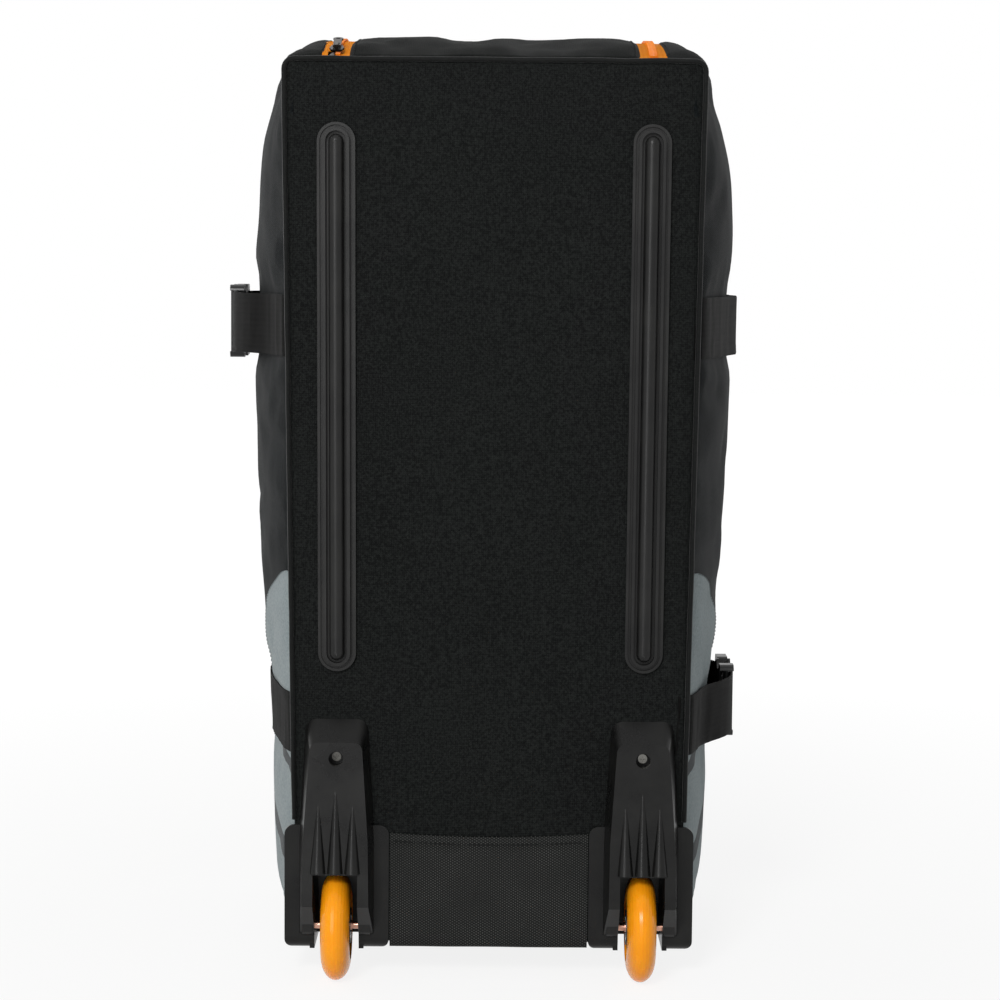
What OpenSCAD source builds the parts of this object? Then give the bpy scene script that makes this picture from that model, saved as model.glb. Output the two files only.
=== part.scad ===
// Upright wheeled gear bag: soft body on a stiff back and base, U-shaped zipped lid,
// two compression straps with side-release buckles, moulded skid rails and wheel housings.
// Millimetres. X runs across the bag, Y from the wheel side to the lid side, Z up from the floor.

/* [Bag body] */
// Full width of the body at its widest, in the upper half
body_w = 410; // [370:1:460]
// Full width of the body at its widest, near the base
body_low_w = 366; // [340:1:400]
// Width of the back panel at its top corners
back_w = 341; // [320:1:360]
// Width of the back panel at its foot
back_low_w = 320; // [300:1:336]
// Depth of the body from back panel to lid
body_d = 330; // [270:1:400]
// Height of the back panel's top seam above the floor
seam_z = 755; // [640:1:880]
// Rise of the end panel above that seam
crown_h = 23; // [16:1:34]
// Depth at which the end panel is highest
crown_y = 130; // [110:1:150]
// Height of the body's underside above the floor
base_z = 28; // [24:1:32]
// Thickness of the padded fabric walls
wall_t = 5; // [3:0.5:7]
// Thickness of the stiffening boards
board_t = 2.5; // [1.5:0.5:4]
// Diameter of the piping cord
piping_d = 4; // [3:0.5:5]

/* [Zip] */
// Distance of each long leg of the zip in from the widest point of the side
zip_in = 77; // [70:1:90]
// Height of the zip's cross run above the floor
zip_low_z = 118; // [105:1:140]
// Bend radius of the zip where a leg turns into the cross run
zip_bend_r = 52; // [40:1:70]
// Width of the zip tapes together
tape_w = 21; // [18:1:26]
// Width of the closed chain
chain_w = 6; // [5:0.5:8]

/* [Wheels] */
// Wheel diameter
wheel_d = 90; // [80:1:94]
// Wheel width
wheel_w = 24; // [22:0.5:28]
// Distance of each wheel from the middle of the bag
wheel_x = 125.4; // [118:0.2:132]
// Depth of the axle behind (negative) or inside (positive) the back panel
axle_y = -2; // [-8:0.5:4]
// Axle bolt diameter
axle_d = 6; // [5:0.5:7]
// Bearing outside diameter
bearing_od = 22; // [20:1:24]
// Bearing bore
bearing_id = 8; // [7.5:0.5:9]
// Bearing width
bearing_w = 7; // [6:0.5:8]

/* [Wheel housings] */
// Width of the housing's flange
flange_w = 86; // [80:1:90]
// Height of the flange above the underside
flange_h = 104; // [96:1:116]
// Full height of the housing
housing_h = 192; // [176:1:210]
// Depth that the flange runs in under the bag
foot_run = 66; // [62:1:76]
// Flange thickness
flange_t = 3; // [2.5:0.5:4]
// Wall thickness of the raised body and of the cheeks beside the wheel
cheek_t = 4; // [3:0.5:5]
// How far the raised body stands proud beside the wheel
proud = 32; // [28:1:36]
// Width of the wheel slot
slot_w = 36.5; // [34:0.5:40]
// Gap between the tread and the roof of the well
well_gap = 10; // [7:1:12]

/* [Skid rails] */
// Rail length
rail_l = 446; // [380:2:480]
// Rail width
rail_w = 31; // [28:1:34]
// Height of the rail's crest above the back panel
rail_h = 12; // [10:1:16]
// Height of the rail's lower end above the floor
rail_z = 257; // [240:1:280]
// Distance of the rail's lower end from the middle of the bag
rail_x = 125.4; // [118:0.2:130]
// Lean of each rail, following the panel's edge
rail_lean = 0.27; // [0:0.05:0.8]

/* [Straps and buckles] */
// Webbing width
web_w = 50; // [44:1:52]
// Webbing thickness
web_t = 1.8; // [1.4:0.2:2.4]
// Height of the upper strap's middle
strap_high_z = 539; // [500:1:560]
// Height of the lower strap's middle
strap_low_z = 213; // [200:1:225]
// Buckle width across the webbing
buckle_w = 62; // [60:1:68]
// Buckle thickness
buckle_t = 12; // [11:0.5:14]
// Distance of the buckle's middle plane from the bag's side
buckle_off = 14.5; // [12:0.5:18]
// Depth at which the female half begins
buckle_y = 128; // [118:1:136]

/* [Handle and feet] */
// Span of the haul handle between its ends
handle_span = 150; // [120:2:180]
// How far the haul handle bows out
handle_bow = 32; // [26:1:44]
// Handle webbing width
handle_w = 38; // [30:1:40]
// Height of the haul handle's middle
handle_z = 640; // [610:1:650]
// Distance of each front foot from the middle of the bag
foot_x = 118; // [90:1:125]
// Radius of the foot where it stands on the floor
foot_r = 13; // [10:0.5:16]

/* [Hidden] */
$fn = 48;
LEFT = -1;
RIGHT = 1;

// Clearances
seam_gap = 0.3;      // soft piece lying on another body
strap_gap = 1.1;     // strap over the side and over the chain
run_gap = 0.05;      // shaft in its bore, radial
seat_gap = 0.02;     // pressed seat of bearing and core, radial
slide_gap = 0.3;     // buckle prong in its socket, each side

// Body form
slices = 20;                     // stations of the body's loft
form_fn = 24;
shoulder_w = body_w - 24;        // width at the rounded upper edge
swell_y = 150;                   // depth at which the side is widest
bend_y = 215;                    // depth at which the side turns to the lid
front_flat = body_w / 2 - 100;   // half width of the flat front
bend_power = 2.3;                // squareness of the front bends
top_bend_y = body_d - 110;       // depth at which the end turns down to the front
top_bend_h = 75;                 // drop of that bend
low_bend_y = body_d - 60;        // depth at which the base turns up to the front
low_bend_h = 60;                 // rise of that bend
corner_r = 8;                    // corner radius of the back panel
high_z = seam_z - 255;           // lowest level of the full width
full_z = seam_z - 105;           // highest level of the full width
crown_r = (pow(crown_y, 2) + pow(crown_h, 2)) / (2 * crown_h);
crown_c = seam_z + crown_h - crown_r;    // height of the end panel's centre of curvature
low_z = base_z + 25;             // level of the low section

// Seams
zip_x = body_w / 2 - zip_in;
side_seam_top = 18;
side_seam_low = 16;
side_seam_front = 34;
grey_z = 187;                    // level up to which the grey panel fills the side
grey_tab_r = 118;                // radius of its rounded tab beside the back
grey_tab_z = seam_z - 535;       // height of that tab's centre
lid_start_y = wall_t + 1;        // lid's hinge edge
slider_zone_y = lid_start_y + 22;

// Housing
axle_z = wheel_d / 2;
housing_z = base_z - flange_t;   // underside of the housing
well_r = wheel_d / 2 + well_gap;
drum_r = well_r + flange_t;
drum_w = slot_w + 2 * cheek_t;
screw_z = housing_z + housing_h - 30;
screw_d = 5;
recess_d = 12;
nut_t = 3.2;
bolt_reach = drum_w / 2 + nut_t + 0.8;   // half length of the axle bolt

// Buckle
female_l = 46;
male_l = 26;
prong_l = 31;
bar_r = 2.2;
plate_t = (buckle_t - 7.6) / 2;

// Handle
handle_t = 2;
grip_t = 7;
handle_r = (pow(handle_span / 2, 2) + pow(handle_bow, 2)) / (2 * handle_bow);
anchor_l = 28;

// Whole object, for centring the origin
rear_y = axle_y - wheel_d / 2;
front_y = body_d + seam_gap + handle_bow + (grip_t - handle_t) / 2 + handle_t;
centre_y = (rear_y + front_y) / 2;
left_x = -buckle_x(strap_high_z) - buckle_t / 2;
right_x = max(
    buckle_x(strap_low_z) + buckle_t / 2,
    half_at(swell_y, strap_high_z + web_w / 2) + strap_gap + web_t);
centre_x = (left_x + right_x) / 2;

// ---------------------------------------------------------------- functions

function mix(a, b, t) = a + (b - a) * t;
function level(z) = min(1, max(0, (z - low_z) / (high_z - low_z)));
function back_half(z) = mix(back_low_w, back_w, (z - low_z) / (seam_z - low_z)) / 2;
function bend(u) = pow(1 - pow(min(1, max(0, u)), bend_power), 1 / bend_power);

// Half width of the plan outline at depth y, from the back edge to the widest point
function plan_half(y, back, wide) =
    y <= swell_y ? back + (wide - back) * sin(90 * max(0, y) / swell_y)
    : mix(front_flat, wide, bend((y - bend_y) / (body_d - bend_y)));

// Half width of the body at depth y and height z
function half_at(y, z) = plan_half(y, back_half(z), mix(body_low_w, body_w, level(z)) / 2);

// Distance of a buckle's middle plane from the middle of the bag, on a strap at height z
function buckle_x(z) = half_at(swell_y, z) + buckle_off;

// Height of the end panel and of the underside at depth y
function top_z(y) = min(
    crown_c + sqrt(pow(crown_r, 2) - pow(y - crown_y, 2)),
    seam_z + crown_h - top_bend_h * (1 - bend((y - top_bend_y) / (body_d - top_bend_y))));
function under_z(y) = base_z
    + low_bend_h * (1 - bend((y - low_bend_y) / (body_d - low_bend_y)));

// Depth of loft station i
function station(i) = body_d * (1 - cos(180 * i / slices)) / 2;

// ---------------------------------------------------------------- body form

// One post of a loft station: a thin disc whose outer edge is at half width w
module post(w, z, r) {
    for (side = [LEFT, RIGHT])
        translate([side * (w - r), 0, z])
            rotate([-90, 0, 0])
                cylinder(h = 0.1, r = r, $fn = form_fn);
}

// The body's outer form, drawn in by inset on every side
module bag_form(inset = 0) {
    hull()
        for (i = [0:slices])
            let (
                y = station(i),
                swell = sin(90 * min(1, y / 100)),
                r_top = max(2, corner_r + 38 * swell - inset),
                r_low = max(2, corner_r + 22 * swell - inset),
                back_in = 0.8 * inset,
                place = back_in + (body_d - 0.1 - inset - back_in) * y / body_d
            )
            translate([0, place, 0]) {
                post(plan_half(y, back_half(seam_z), shoulder_w / 2) - inset, top_z(y) - inset - r_top, r_top);
                for (z = [high_z, full_z])
                    post(plan_half(y, back_half(z), body_w / 2) - inset, z, 20);
                post(plan_half(y, back_half(low_z), body_low_w / 2) - inset, under_z(y) + inset + r_low, r_low);
            }
}

// A layer of the body between two depths below its surface
module layer(outer, inner) {
    difference() {
        bag_form(outer);
        bag_form(inner);
    }
}

// Outline of the lid opening at its zip line, grown by g
module lid_outline(g) {
    a = zip_x + g;
    r = zip_bend_r + g;
    z = zip_low_z - g;
    translate([-a, z + r])
        square([2 * a, seam_z + 100 - z - r]);
    translate([r - a, z])
        square([2 * (a - r), 2 * r]);
    for (side = [LEFT, RIGHT])
        translate([side * (a - r), z + r])
            circle(r);
}

// That outline as a prism along Y, from depth y on
module lid_prism(g, y = lid_start_y) {
    translate([0, body_d + 20, 0])
        rotate([90, 0, 0])
            linear_extrude(body_d + 20 - y)
                lid_outline(g);
}

// A profile in the YZ plane as a prism along X on one side of the bag
module side_prism(side) {
    translate([side == LEFT ? -body_w : 90, 0, 0])
        rotate([90, 0, 90])
            linear_extrude(body_w - 90)
                children();
}

// Outline of the whole side panel, within its seams
module side_outline() {
    last = body_d - side_seam_front;
    steps = 16;
    polygon(concat(
        [for (i = [0:steps]) let (y = mix(wall_t, last, i / steps)) [y, top_z(y) - side_seam_top]],
        [for (i = [steps:-1:0]) let (y = mix(wall_t, last, i / steps)) [y, under_z(y) + side_seam_low]]
    ));
}

// Outline of the grey panel: the whole lower side, with a rounded tab beside the back
module grey_outline() {
    square([body_d, grey_z]);
    square([grey_tab_r, grey_tab_z]);
    intersection() {
        translate([0, grey_tab_z])
            circle(grey_tab_r);
        square([body_d, seam_z]);
    }
}

// Everything of the wall that is neither back, side nor lid
module gusset_band() {
    difference() {
        layer(0, wall_t);
        translate([-body_w, -1, -1])
            cube([2 * body_w, wall_t + 1, seam_z + 200]);
        lid_prism(tape_w / 2, 0);
        for (side = [LEFT, RIGHT])
            side_prism(side)
                side_outline();
    }
}

// ---------------------------------------------------------------- soft panels

module back_panel() {
    color("#232527")
        difference() {
            intersection() {
                bag_form(0);
                translate([-body_w, -1, -1])
                    cube([2 * body_w, wall_t + 1, seam_z + 200]);
            }
            for (side = [LEFT, RIGHT]) {
                well_clearance(side);
                screw_path(side);
                rail_screw_paths(side);
            }
        }
}

module back_board() {
    color("#8a8d90")
        difference() {
            translate([-back_low_w / 2 + 12, wall_t + seam_gap, base_z + 30])
                cube([back_low_w - 24, board_t, seam_z - base_z - 60]);
            for (side = [LEFT, RIGHT]) {
                well_clearance(side);
                screw_path(side);
                rail_screw_paths(side);
            }
        }
}

module base_panel() {
    color("#1d1e20")
        difference() {
            intersection() {
                layer(0, wall_t);
                translate([-body_w, wall_t, 0])
                    cube([2 * body_w, body_d, base_z + side_seam_low]);
            }
            for (side = [LEFT, RIGHT]) {
                well_clearance(side);
                foot_screw_path(side);
            }
        }
}

module base_board() {
    color("#8a8d90")
        difference() {
            translate([-body_low_w / 2 + 30, wall_t + board_t + 1, base_z + wall_t + seam_gap])
                cube([body_low_w - 60, low_bend_y - 30 - wall_t, board_t]);
            for (side = [LEFT, RIGHT]) {
                well_clearance(side);
                foot_screw_path(side);
            }
        }
}

module side_panel(side) {
    color("#2b2d30")
        difference() {
            intersection() {
                layer(0, wall_t);
                side_prism(side)
                    side_outline();
            }
            side_prism(side)
                grey_outline();
        }
}

module grey_panel(side) {
    color("#7d868b")
        intersection() {
            layer(0, wall_t);
            side_prism(side)
                intersection() {
                    side_outline();
                    grey_outline();
                }
        }
}

// Strip between zip and side: over the end, down the front
module gusset(side) {
    color("#232527")
        intersection() {
            gusset_band();
            translate([side == LEFT ? -body_w : zip_x - zip_bend_r, 0, base_z + side_seam_low])
                cube([body_w - zip_x + zip_bend_r, body_d + 1, seam_z]);
        }
}

module front_lower_panel() {
    half = zip_x - zip_bend_r;
    color("#232527")
        intersection() {
            gusset_band();
            translate([-half, body_d / 2, base_z + side_seam_low])
                cube([2 * half, body_d, zip_low_z]);
        }
}

module lid_panel() {
    color("#232527")
        intersection() {
            layer(0, wall_t);
            lid_prism(-tape_w / 2);
        }
}

// Round tube of radius r along a path in the XZ plane
module tube(path, r, sides) {
    n = len(path) - 1;
    normal = [for (i = [0:n])
        let (d = path[min(n, i + 1)] - path[max(0, i - 1)])
        [d[1], -d[0]] / norm(d)];
    polyhedron(
        points = [for (i = [0:n], k = [0:sides - 1])
            let (a = 360 * k / sides, out = r * cos(a) * normal[i])
            [path[i][0] + out[0], r * sin(a), path[i][1] + out[1]]],
        faces = concat(
            [[for (k = [0:sides - 1]) k]],
            [for (i = [0:n - 1], k = [0:sides - 1], half = [0, 1])
                let (low = i * sides, high = low + sides, j = (k + 1) % sides)
                half == 0 ? [low + k, high + k, high + j] : [low + k, high + j, low + j]],
            [[for (k = [sides - 1:-1:0]) n * sides + k]]
        )
    );
}

// Cord sewn into the back panel's edge, from housing to housing over the top
module piping() {
    edge = 1;
    turns = 6;
    lean = atan2(back_half(seam_z) - back_half(low_z), seam_z - low_z);
    start_z = housing_z + flange_h + piping_d;
    turn_z = seam_z - edge - corner_r;
    turn_x = back_half(turn_z) - edge - corner_r / cos(lean);
    right = concat(
        [[back_half(start_z) - edge, start_z]],
        [for (k = [0:turns]) let (a = mix(-lean, 90, k / turns))
            [turn_x + corner_r * cos(a), turn_z + corner_r * sin(a)]]
    );
    left = [for (i = [len(right) - 1:-1:0]) [-right[i][0], right[i][1]]];
    color("#111213")
        translate([0, -piping_d / 2, 0])
            tube(concat(right, left), piping_d / 2, 12);
}

// Woven wear panel between the housings, folded under the base
module reinforcement_panel() {
    t = 1.6;
    lift = 0.1;
    half = wheel_x - flange_w / 2 - 0.4;
    color("#2a2b2d")
        translate([-half, 0, 0])
            rotate([90, 0, 90])
                linear_extrude(2 * half)
                    difference() {
                        translate([-t - lift, base_z - t - lift])
                            square([foot_run, flange_h - 6]);
                        translate([-lift, base_z - lift])
                            square([foot_run, flange_h]);
                    }
}

// ---------------------------------------------------------------- zip

// Strip of a layer between two outlines of the lid opening
module zip_strip(outer, inner, wide, narrow) {
    intersection() {
        layer(outer, inner);
        difference() {
            lid_prism(wide);
            lid_prism(narrow, 0);
        }
    }
}

module zip_tape_body() {
    color("#e8781e")
        difference() {
            zip_strip(1, 2.2, tape_w / 2, chain_w / 2);
            slider_zone();
        }
}

module zip_tape_lid() {
    color("#e8781e")
        zip_strip(1, 2.2, -chain_w / 2, -tape_w / 2);
}

module zip_chain_body() {
    color("#d96c18")
        difference() {
            zip_strip(-0.8, 2.6, chain_w / 2, 0.6);
            slider_zone();
        }
}

module zip_chain_lid() {
    color("#d96c18")
        zip_strip(-0.8, 2.6, -0.6, -chain_w / 2);
}

// Body side of the left leg's end, open so that the parked slider lifts with the lid
module slider_zone() {
    reach = slider_w / 2 + 1;
    translate([-zip_x - reach, 0, seam_z - 20])
        cube([reach, slider_zone_y, 60]);
}

// Carries its children along the end panel's arc to depth y on the left leg
module on_zip(y) {
    translate([-zip_x, crown_y, crown_c])
        rotate([asin((crown_y - y) / crown_r), 0, 0])
            translate([0, 0, crown_r])
                children();
}

slider_l = 15;
slider_w = 12;
slider_y = lid_start_y + 11;
slider_top = 1.4;        // top plate's underside above the panel surface
pull_up = slider_top + 2.9;    // pull's pivot above the panel surface

module zip_slider() {
    color("#4a4038")
        on_zip(slider_y) {
            translate([0, 0, slider_top])
                slider_plate(1.6);
            translate([0, 0, -4.6])
                slider_plate(1.4);
            translate([-0.35, -slider_l / 2 + 2, -3.4])
                cube([0.7, slider_l - 4, 5]);
            for (end = [-1, 1])
                translate([-1.4, end * 4.4 - 0.8, slider_top + 1.4])
                    cube([2.8, 1.6, 3]);
            translate([-1.4, -5.2, slider_top + 4])
                cube([2.8, 10.4, 1]);
        }
}

module slider_plate(t) {
    linear_extrude(t)
        difference() {
            union() {
                circle(d = slider_w);
                translate([-slider_w / 2 + 1.2, -slider_l / 2])
                    square([slider_w - 2.4, slider_l]);
            }
            translate([0, -slider_l / 2 - 5])
                circle(d = 8);
        }
}

// Pull tab on the slider's bridge, lying back along the zip
module zip_pull() {
    wire_r = 0.8;
    color("#3a3530")
        on_zip(slider_y)
            translate([0, 0, pull_up])
                pull_tab(wire_r);
}

module pull_tab(wire_r) {
    tab_l = 26;
    rotate([90, 0, 90])
        translate([0, 0, -2.6])
            cylinder(h = 5.2, r = wire_r - run_gap, $fn = 24);
    for (side = [LEFT, RIGHT])
        translate([side * 2.6 - 0.6, -1, -0.7])
            cube([1.2, 9, 1.4]);
    translate([0, 7, -0.7])
        linear_extrude(1.4)
            difference() {
                union() {
                    translate([-3.2, 0])
                        square([6.4, tab_l - 10]);
                    translate([0, tab_l - 10])
                        circle(r = 4.2);
                }
                translate([0, tab_l - 10])
                    circle(r = 1.8);
            }
}

// ---------------------------------------------------------------- skid rails

module racetrack(w, l) {
    translate([-w / 2, w / 2])
        square([w, l - w]);
    for (z = [w / 2, l - w / 2])
        translate([0, z])
            circle(d = w);
}

// Closed ridge of width t that follows the rail's outline, its outer edge drawn in by inset
module ridge(inset, t, h) {
    translate([0, inset, 0])
        linear_extrude(h)
            difference() {
                racetrack(rail_w - 2 * inset, rail_l - 2 * inset);
                translate([0, t])
                    racetrack(rail_w - 2 * inset - 2 * t, rail_l - 2 * inset - 2 * t);
            }
}

module on_rail(side) {
    translate([side * rail_x, 0, rail_z])
        rotate([0, side * rail_lean, 0])
            rotate([90, 0, 0])
                children();
}

module skid_rail(side) {
    base_h = 2;
    dome_r = min(6, rail_h / 2);
    dome_in = (rail_w / 2 - dome_r);
    color("#2a2c2e")
        on_rail(side)
            difference() {
                union() {
                    linear_extrude(base_h)
                        racetrack(rail_w, rail_l);
                    ridge(0, 2.2, base_h + 1.8);
                    ridge(4.6, 2.4, base_h + 4.4);
                    translate([0, dome_in, 0])
                        linear_extrude(rail_h - dome_r)
                            racetrack(2 * dome_r, rail_l - 2 * dome_in);
                    translate([0, dome_in + dome_r, rail_h - dome_r])
                        rotate([-90, 0, 0])
                            cylinder(h = rail_l - 2 * dome_in - 2 * dome_r, r = dome_r);
                    for (z = [dome_in + dome_r, rail_l - dome_in - dome_r])
                        translate([0, z, rail_h - dome_r])
                            sphere(dome_r);
                }
                for (z = rail_screw_heights())
                    translate([0, z, -1])
                        cylinder(h = 9, d = 3.4 + 2 * run_gap, $fn = 24);
            }
}

function rail_screw_heights() = [for (k = [0.08, 0.36, 0.64, 0.92]) k * rail_l];

module rail_screw_paths(side) {
    on_rail(side)
        for (z = rail_screw_heights())
            translate([0, z, -wall_t - board_t - 5])
                cylinder(h = wall_t + board_t + 6, d = 4.2, $fn = 24);
}

// Screws from inside the bag, through board and panel into the rails
module rail_screws() {
    head_z = -wall_t - seam_gap - board_t;
    color("#b8babc")
        for (side = [LEFT, RIGHT])
            on_rail(side)
                for (z = rail_screw_heights())
                    translate([0, z, head_z]) {
                        cylinder(h = 7 - head_z, d = 3.4, $fn = 24);
                        translate([0, 0, -2])
                            cylinder(h = 2, d = 9, $fn = 24);
                    }
}

// ---------------------------------------------------------------- wheel housings

// Space in the bag's panels that the well passes through
module well_clearance(side) {
    translate([side * wheel_x - drum_w / 2 - seam_gap, axle_y, axle_z])
        rotate([0, 90, 0])
            cylinder(h = drum_w + 2 * seam_gap, r = drum_r + seam_gap);
    translate([side * wheel_x - drum_w / 2 - seam_gap, -1, base_z - 2])
        cube([drum_w + 2 * seam_gap, axle_y + drum_r + 2 * seam_gap + 1, axle_z - base_z + 2]);
    translate([side * wheel_x - bolt_reach - 1, axle_y, axle_z])
        rotate([0, 90, 0])
            cylinder(h = 2 * bolt_reach + 2, d = axle_d + 8);
}

module screw_path(side) {
    translate([side * wheel_x, 20, screw_z])
        rotate([90, 0, 0])
            cylinder(h = 30, d = screw_d + 1, $fn = 24);
}

// Thin plate of the raised body's outline: half widths at its top and foot
module body_plate(top_half, foot_half, z_top, z_foot, r_top, r_foot) {
    for (side = [LEFT, RIGHT]) {
        translate([side * (top_half - r_top), 0, z_top - r_top])
            rotate([90, 0, 0])
                cylinder(h = 0.2, r = r_top, $fn = 32);
        translate([side * (foot_half - r_foot), 0, z_foot + r_foot])
            rotate([90, 0, 0])
                cylinder(h = 0.2, r = r_foot, $fn = 32);
    }
}

// Raised body: a wide base outline on the flange, a narrower face that leans out to the slot
module raised_body(t) {
    top_z = housing_h - t;
    knee_z = 42 + t;
    face_h = housing_h - 16 - t - knee_z;
    lean = atan2(proud - 17, housing_h - 16 - knee_z);
    hull() {
        body_plate(26 - t, 31 - t, top_z, 10 + t, max(1, 10 - t), 1);
        body_plate(31 - t, 31 - t, flange_h - t, 10 + t, max(1, 10 - t), 1);
        translate([0, t - proud, knee_z])
            rotate([-lean, 0, 0]) {
                body_plate(21.5 - t, 27.5 - t, face_h, 0, max(1, 7 - t), 1);
                body_plate(26.5 - t, 27.5 - t, 0.45 * face_h, 0, max(1, 7 - t), 1);
            }
    }
}

// Flange profile: up the back and in under the base, round at the heel
module flange_profile(w) {
    heel_r = 10;
    translate([-w / 2, 0, 0])
        rotate([90, 0, 90])
            linear_extrude(w)
                difference() {
                    union() {
                        translate([-flange_t, heel_r])
                            square([flange_t, flange_h - heel_r]);
                        translate([heel_r - flange_t, 0])
                            square([foot_run - heel_r + flange_t, flange_t]);
                        intersection() {
                            translate([heel_r - flange_t, heel_r])
                                circle(heel_r);
                            translate([-flange_t, 0])
                                square([heel_r, heel_r]);
                        }
                    }
                    translate([0, flange_t])
                        square([foot_run, flange_h]);
                }
}

// Flange seen from behind, with round outer corners
module flange_face() {
    r = 8;
    translate([-flange_w / 2, r])
        square([flange_w, flange_h - 2 * r]);
    translate([r - flange_w / 2, 0])
        square([flange_w - 2 * r, flange_h]);
    for (side = [LEFT, RIGHT], z = [r, flange_h - r])
        translate([side * (flange_w / 2 - r), z])
            circle(r);
}

// Three folds that run down the face and end at the slot
module pleats() {
    for (p = [[-14, 64], [0, 80], [14, 64]])
        translate([p[0], 3.4 - proud, well_r + axle_z - housing_z - 6])
            rotate([-7, 0, 0])
                cylinder(h = p[1], r1 = 6.5, r2 = 0.4, $fn = 32);
}

module wheel_housing(side) {
    color("#303234")
        translate([side * wheel_x, 0, housing_z])
            difference() {
                union() {
                    intersection() {
                        flange_profile(flange_w);
                        translate([0, foot_run + 1, 0])
                            rotate([90, 0, 0])
                                linear_extrude(foot_run + flange_t + 2)
                                    flange_face();
                    }
                    difference() {
                        union() {
                            raised_body(0);
                            pleats();
                        }
                        raised_body(cheek_t - 1);
                        translate([-flange_w, 0, -1])
                            cube([2 * flange_w, 20, housing_h + 2]);
                    }
                    cheeks();
                    legs();
                    screw_boss();
                }
                well_space();
                bolt_pockets();
                translate([0, 10, screw_z - housing_z])
                    rotate([90, 0, 0])
                        cylinder(h = 20, d = screw_d + 0.6, $fn = 32);
                translate([0, -5, screw_z - housing_z])
                    rotate([90, 0, 0])
                        cylinder(h = proud, d = recess_d, $fn = 48);
                translate([-bolt_reach, axle_y, axle_z - housing_z])
                    rotate([0, 90, 0])
                        cylinder(h = 2 * bolt_reach, d = axle_d + 2 * run_gap);
            }
}

// Drum of the wheel well with its two cheeks and the axle bosses
module cheeks() {
    reach = foot_run;
    intersection() {
        union() {
            translate([-drum_w / 2, axle_y, axle_z - housing_z])
                rotate([0, 90, 0])
                    cylinder(h = drum_w, r = drum_r);
            translate([-drum_w / 2, axle_y - proud + 12, 0])
                cube([drum_w, proud - 12 + drum_r, axle_z - housing_z]);
        }
        union() {
            translate([-drum_w / 2, -1, 0])
                cube([drum_w, reach + 1, housing_h]);
            raised_body(0.4);
        }
    }
}

// Solid legs beside the cheeks, over the bolt's head and nut
module legs() {
    inside = slot_w / 2 + 1;
    outside = bolt_reach + 1.8;
    shoulder = bolt_reach + 0.2;
    intersection() {
        for (side = [LEFT, RIGHT])
            hull() {
                translate([side > 0 ? inside : -outside, axle_y, axle_z - housing_z])
                    rotate([0, 90, 0])
                        cylinder(h = outside - inside, r = axle_d / 2 + 5, $fn = 32);
                translate([side > 0 ? inside : -shoulder, 6 - proud, 44])
                    cube([shoulder - inside, proud - 6, 4]);
            }
        translate([-outside - 1, -proud, 0])
            cube([2 * outside + 2, proud, housing_h]);
    }
}

// Pockets beside the cheeks for the bolt's head and nut
module bolt_pockets() {
    for (x = [-bolt_reach - 0.3, drum_w / 2])
        translate([x, axle_y, axle_z - housing_z])
            rotate([0, 90, 0])
                cylinder(h = bolt_reach + 0.3 - drum_w / 2, d = axle_d + 7);
}

// Hollow that the wheel turns in, open below and behind
module well_space() {
    translate([-slot_w / 2, axle_y, axle_z - housing_z])
        rotate([0, 90, 0])
            cylinder(h = slot_w, r = well_r);
    translate([-slot_w / 2, axle_y - well_r, -1])
        cube([slot_w, 2 * well_r, axle_z - housing_z + 1]);
}

module screw_boss() {
    intersection() {
        translate([0, -0.1, screw_z - housing_z])
            rotate([90, 0, 0])
                cylinder(h = proud, d = recess_d + 5);
        raised_body(0.5);
    }
}

// Screws seen deep in the recesses, with a tee nut inside the bag
module housing_screws() {
    color("#c8cacc")
        for (side = [LEFT, RIGHT])
            translate([side * wheel_x, 0, screw_z])
                rotate([90, 0, 0]) {
                    difference() {
                        translate([0, 0, 5.1])
                            cylinder(h = 2.6, d = 7.6);
                        for (a = [0, 90])
                            rotate([0, 0, a])
                                translate([-2.2, -0.5, 6.5])
                                    cube([4.4, 1, 3]);
                    }
                    translate([0, 0, -13])
                        cylinder(h = 18.2, d = screw_d);
                }
}

// Steel strips with a nut behind each housing screw
module backing_plates() {
    y0 = wall_t + 2 * seam_gap + board_t;
    color("#a9acae")
        for (side = [LEFT, RIGHT])
            translate([side * wheel_x, y0, screw_z])
                rotate([-90, 0, 0])
                    difference() {
                        union() {
                            translate([-18, -24, 0])
                                cube([36, 48, 1.5]);
                            cylinder(h = 4.5, d = 9, $fn = 6);
                        }
                        translate([0, 0, -1])
                            cylinder(h = 10, d = screw_d + 2 * run_gap);
                    }
}

// ---------------------------------------------------------------- wheels

module on_axle(side) {
    translate([side * wheel_x, axle_y, axle_z])
        rotate([0, 90, 0])
            children();
}

core_r = 29;

// Urethane tyre with an elliptical crown
module tyre(side) {
    shoulder = 17;
    steps = 14;
    r = wheel_d / 2;
    color("#f08a1c")
        on_axle(side)
            rotate_extrude($fn = 72)
                polygon(concat(
                    [[core_r, wheel_w / 2 - 1.5], [core_r + 0.5, wheel_w / 2 - 0.3]],
                    [for (i = [0:steps]) let (a = 90 - 180 * i / steps)
                        [r - shoulder + shoulder * cos(a), wheel_w / 2 * sin(a)]],
                    [[core_r + 0.5, 0.3 - wheel_w / 2], [core_r, 1.5 - wheel_w / 2]]
                ));
}

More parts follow.
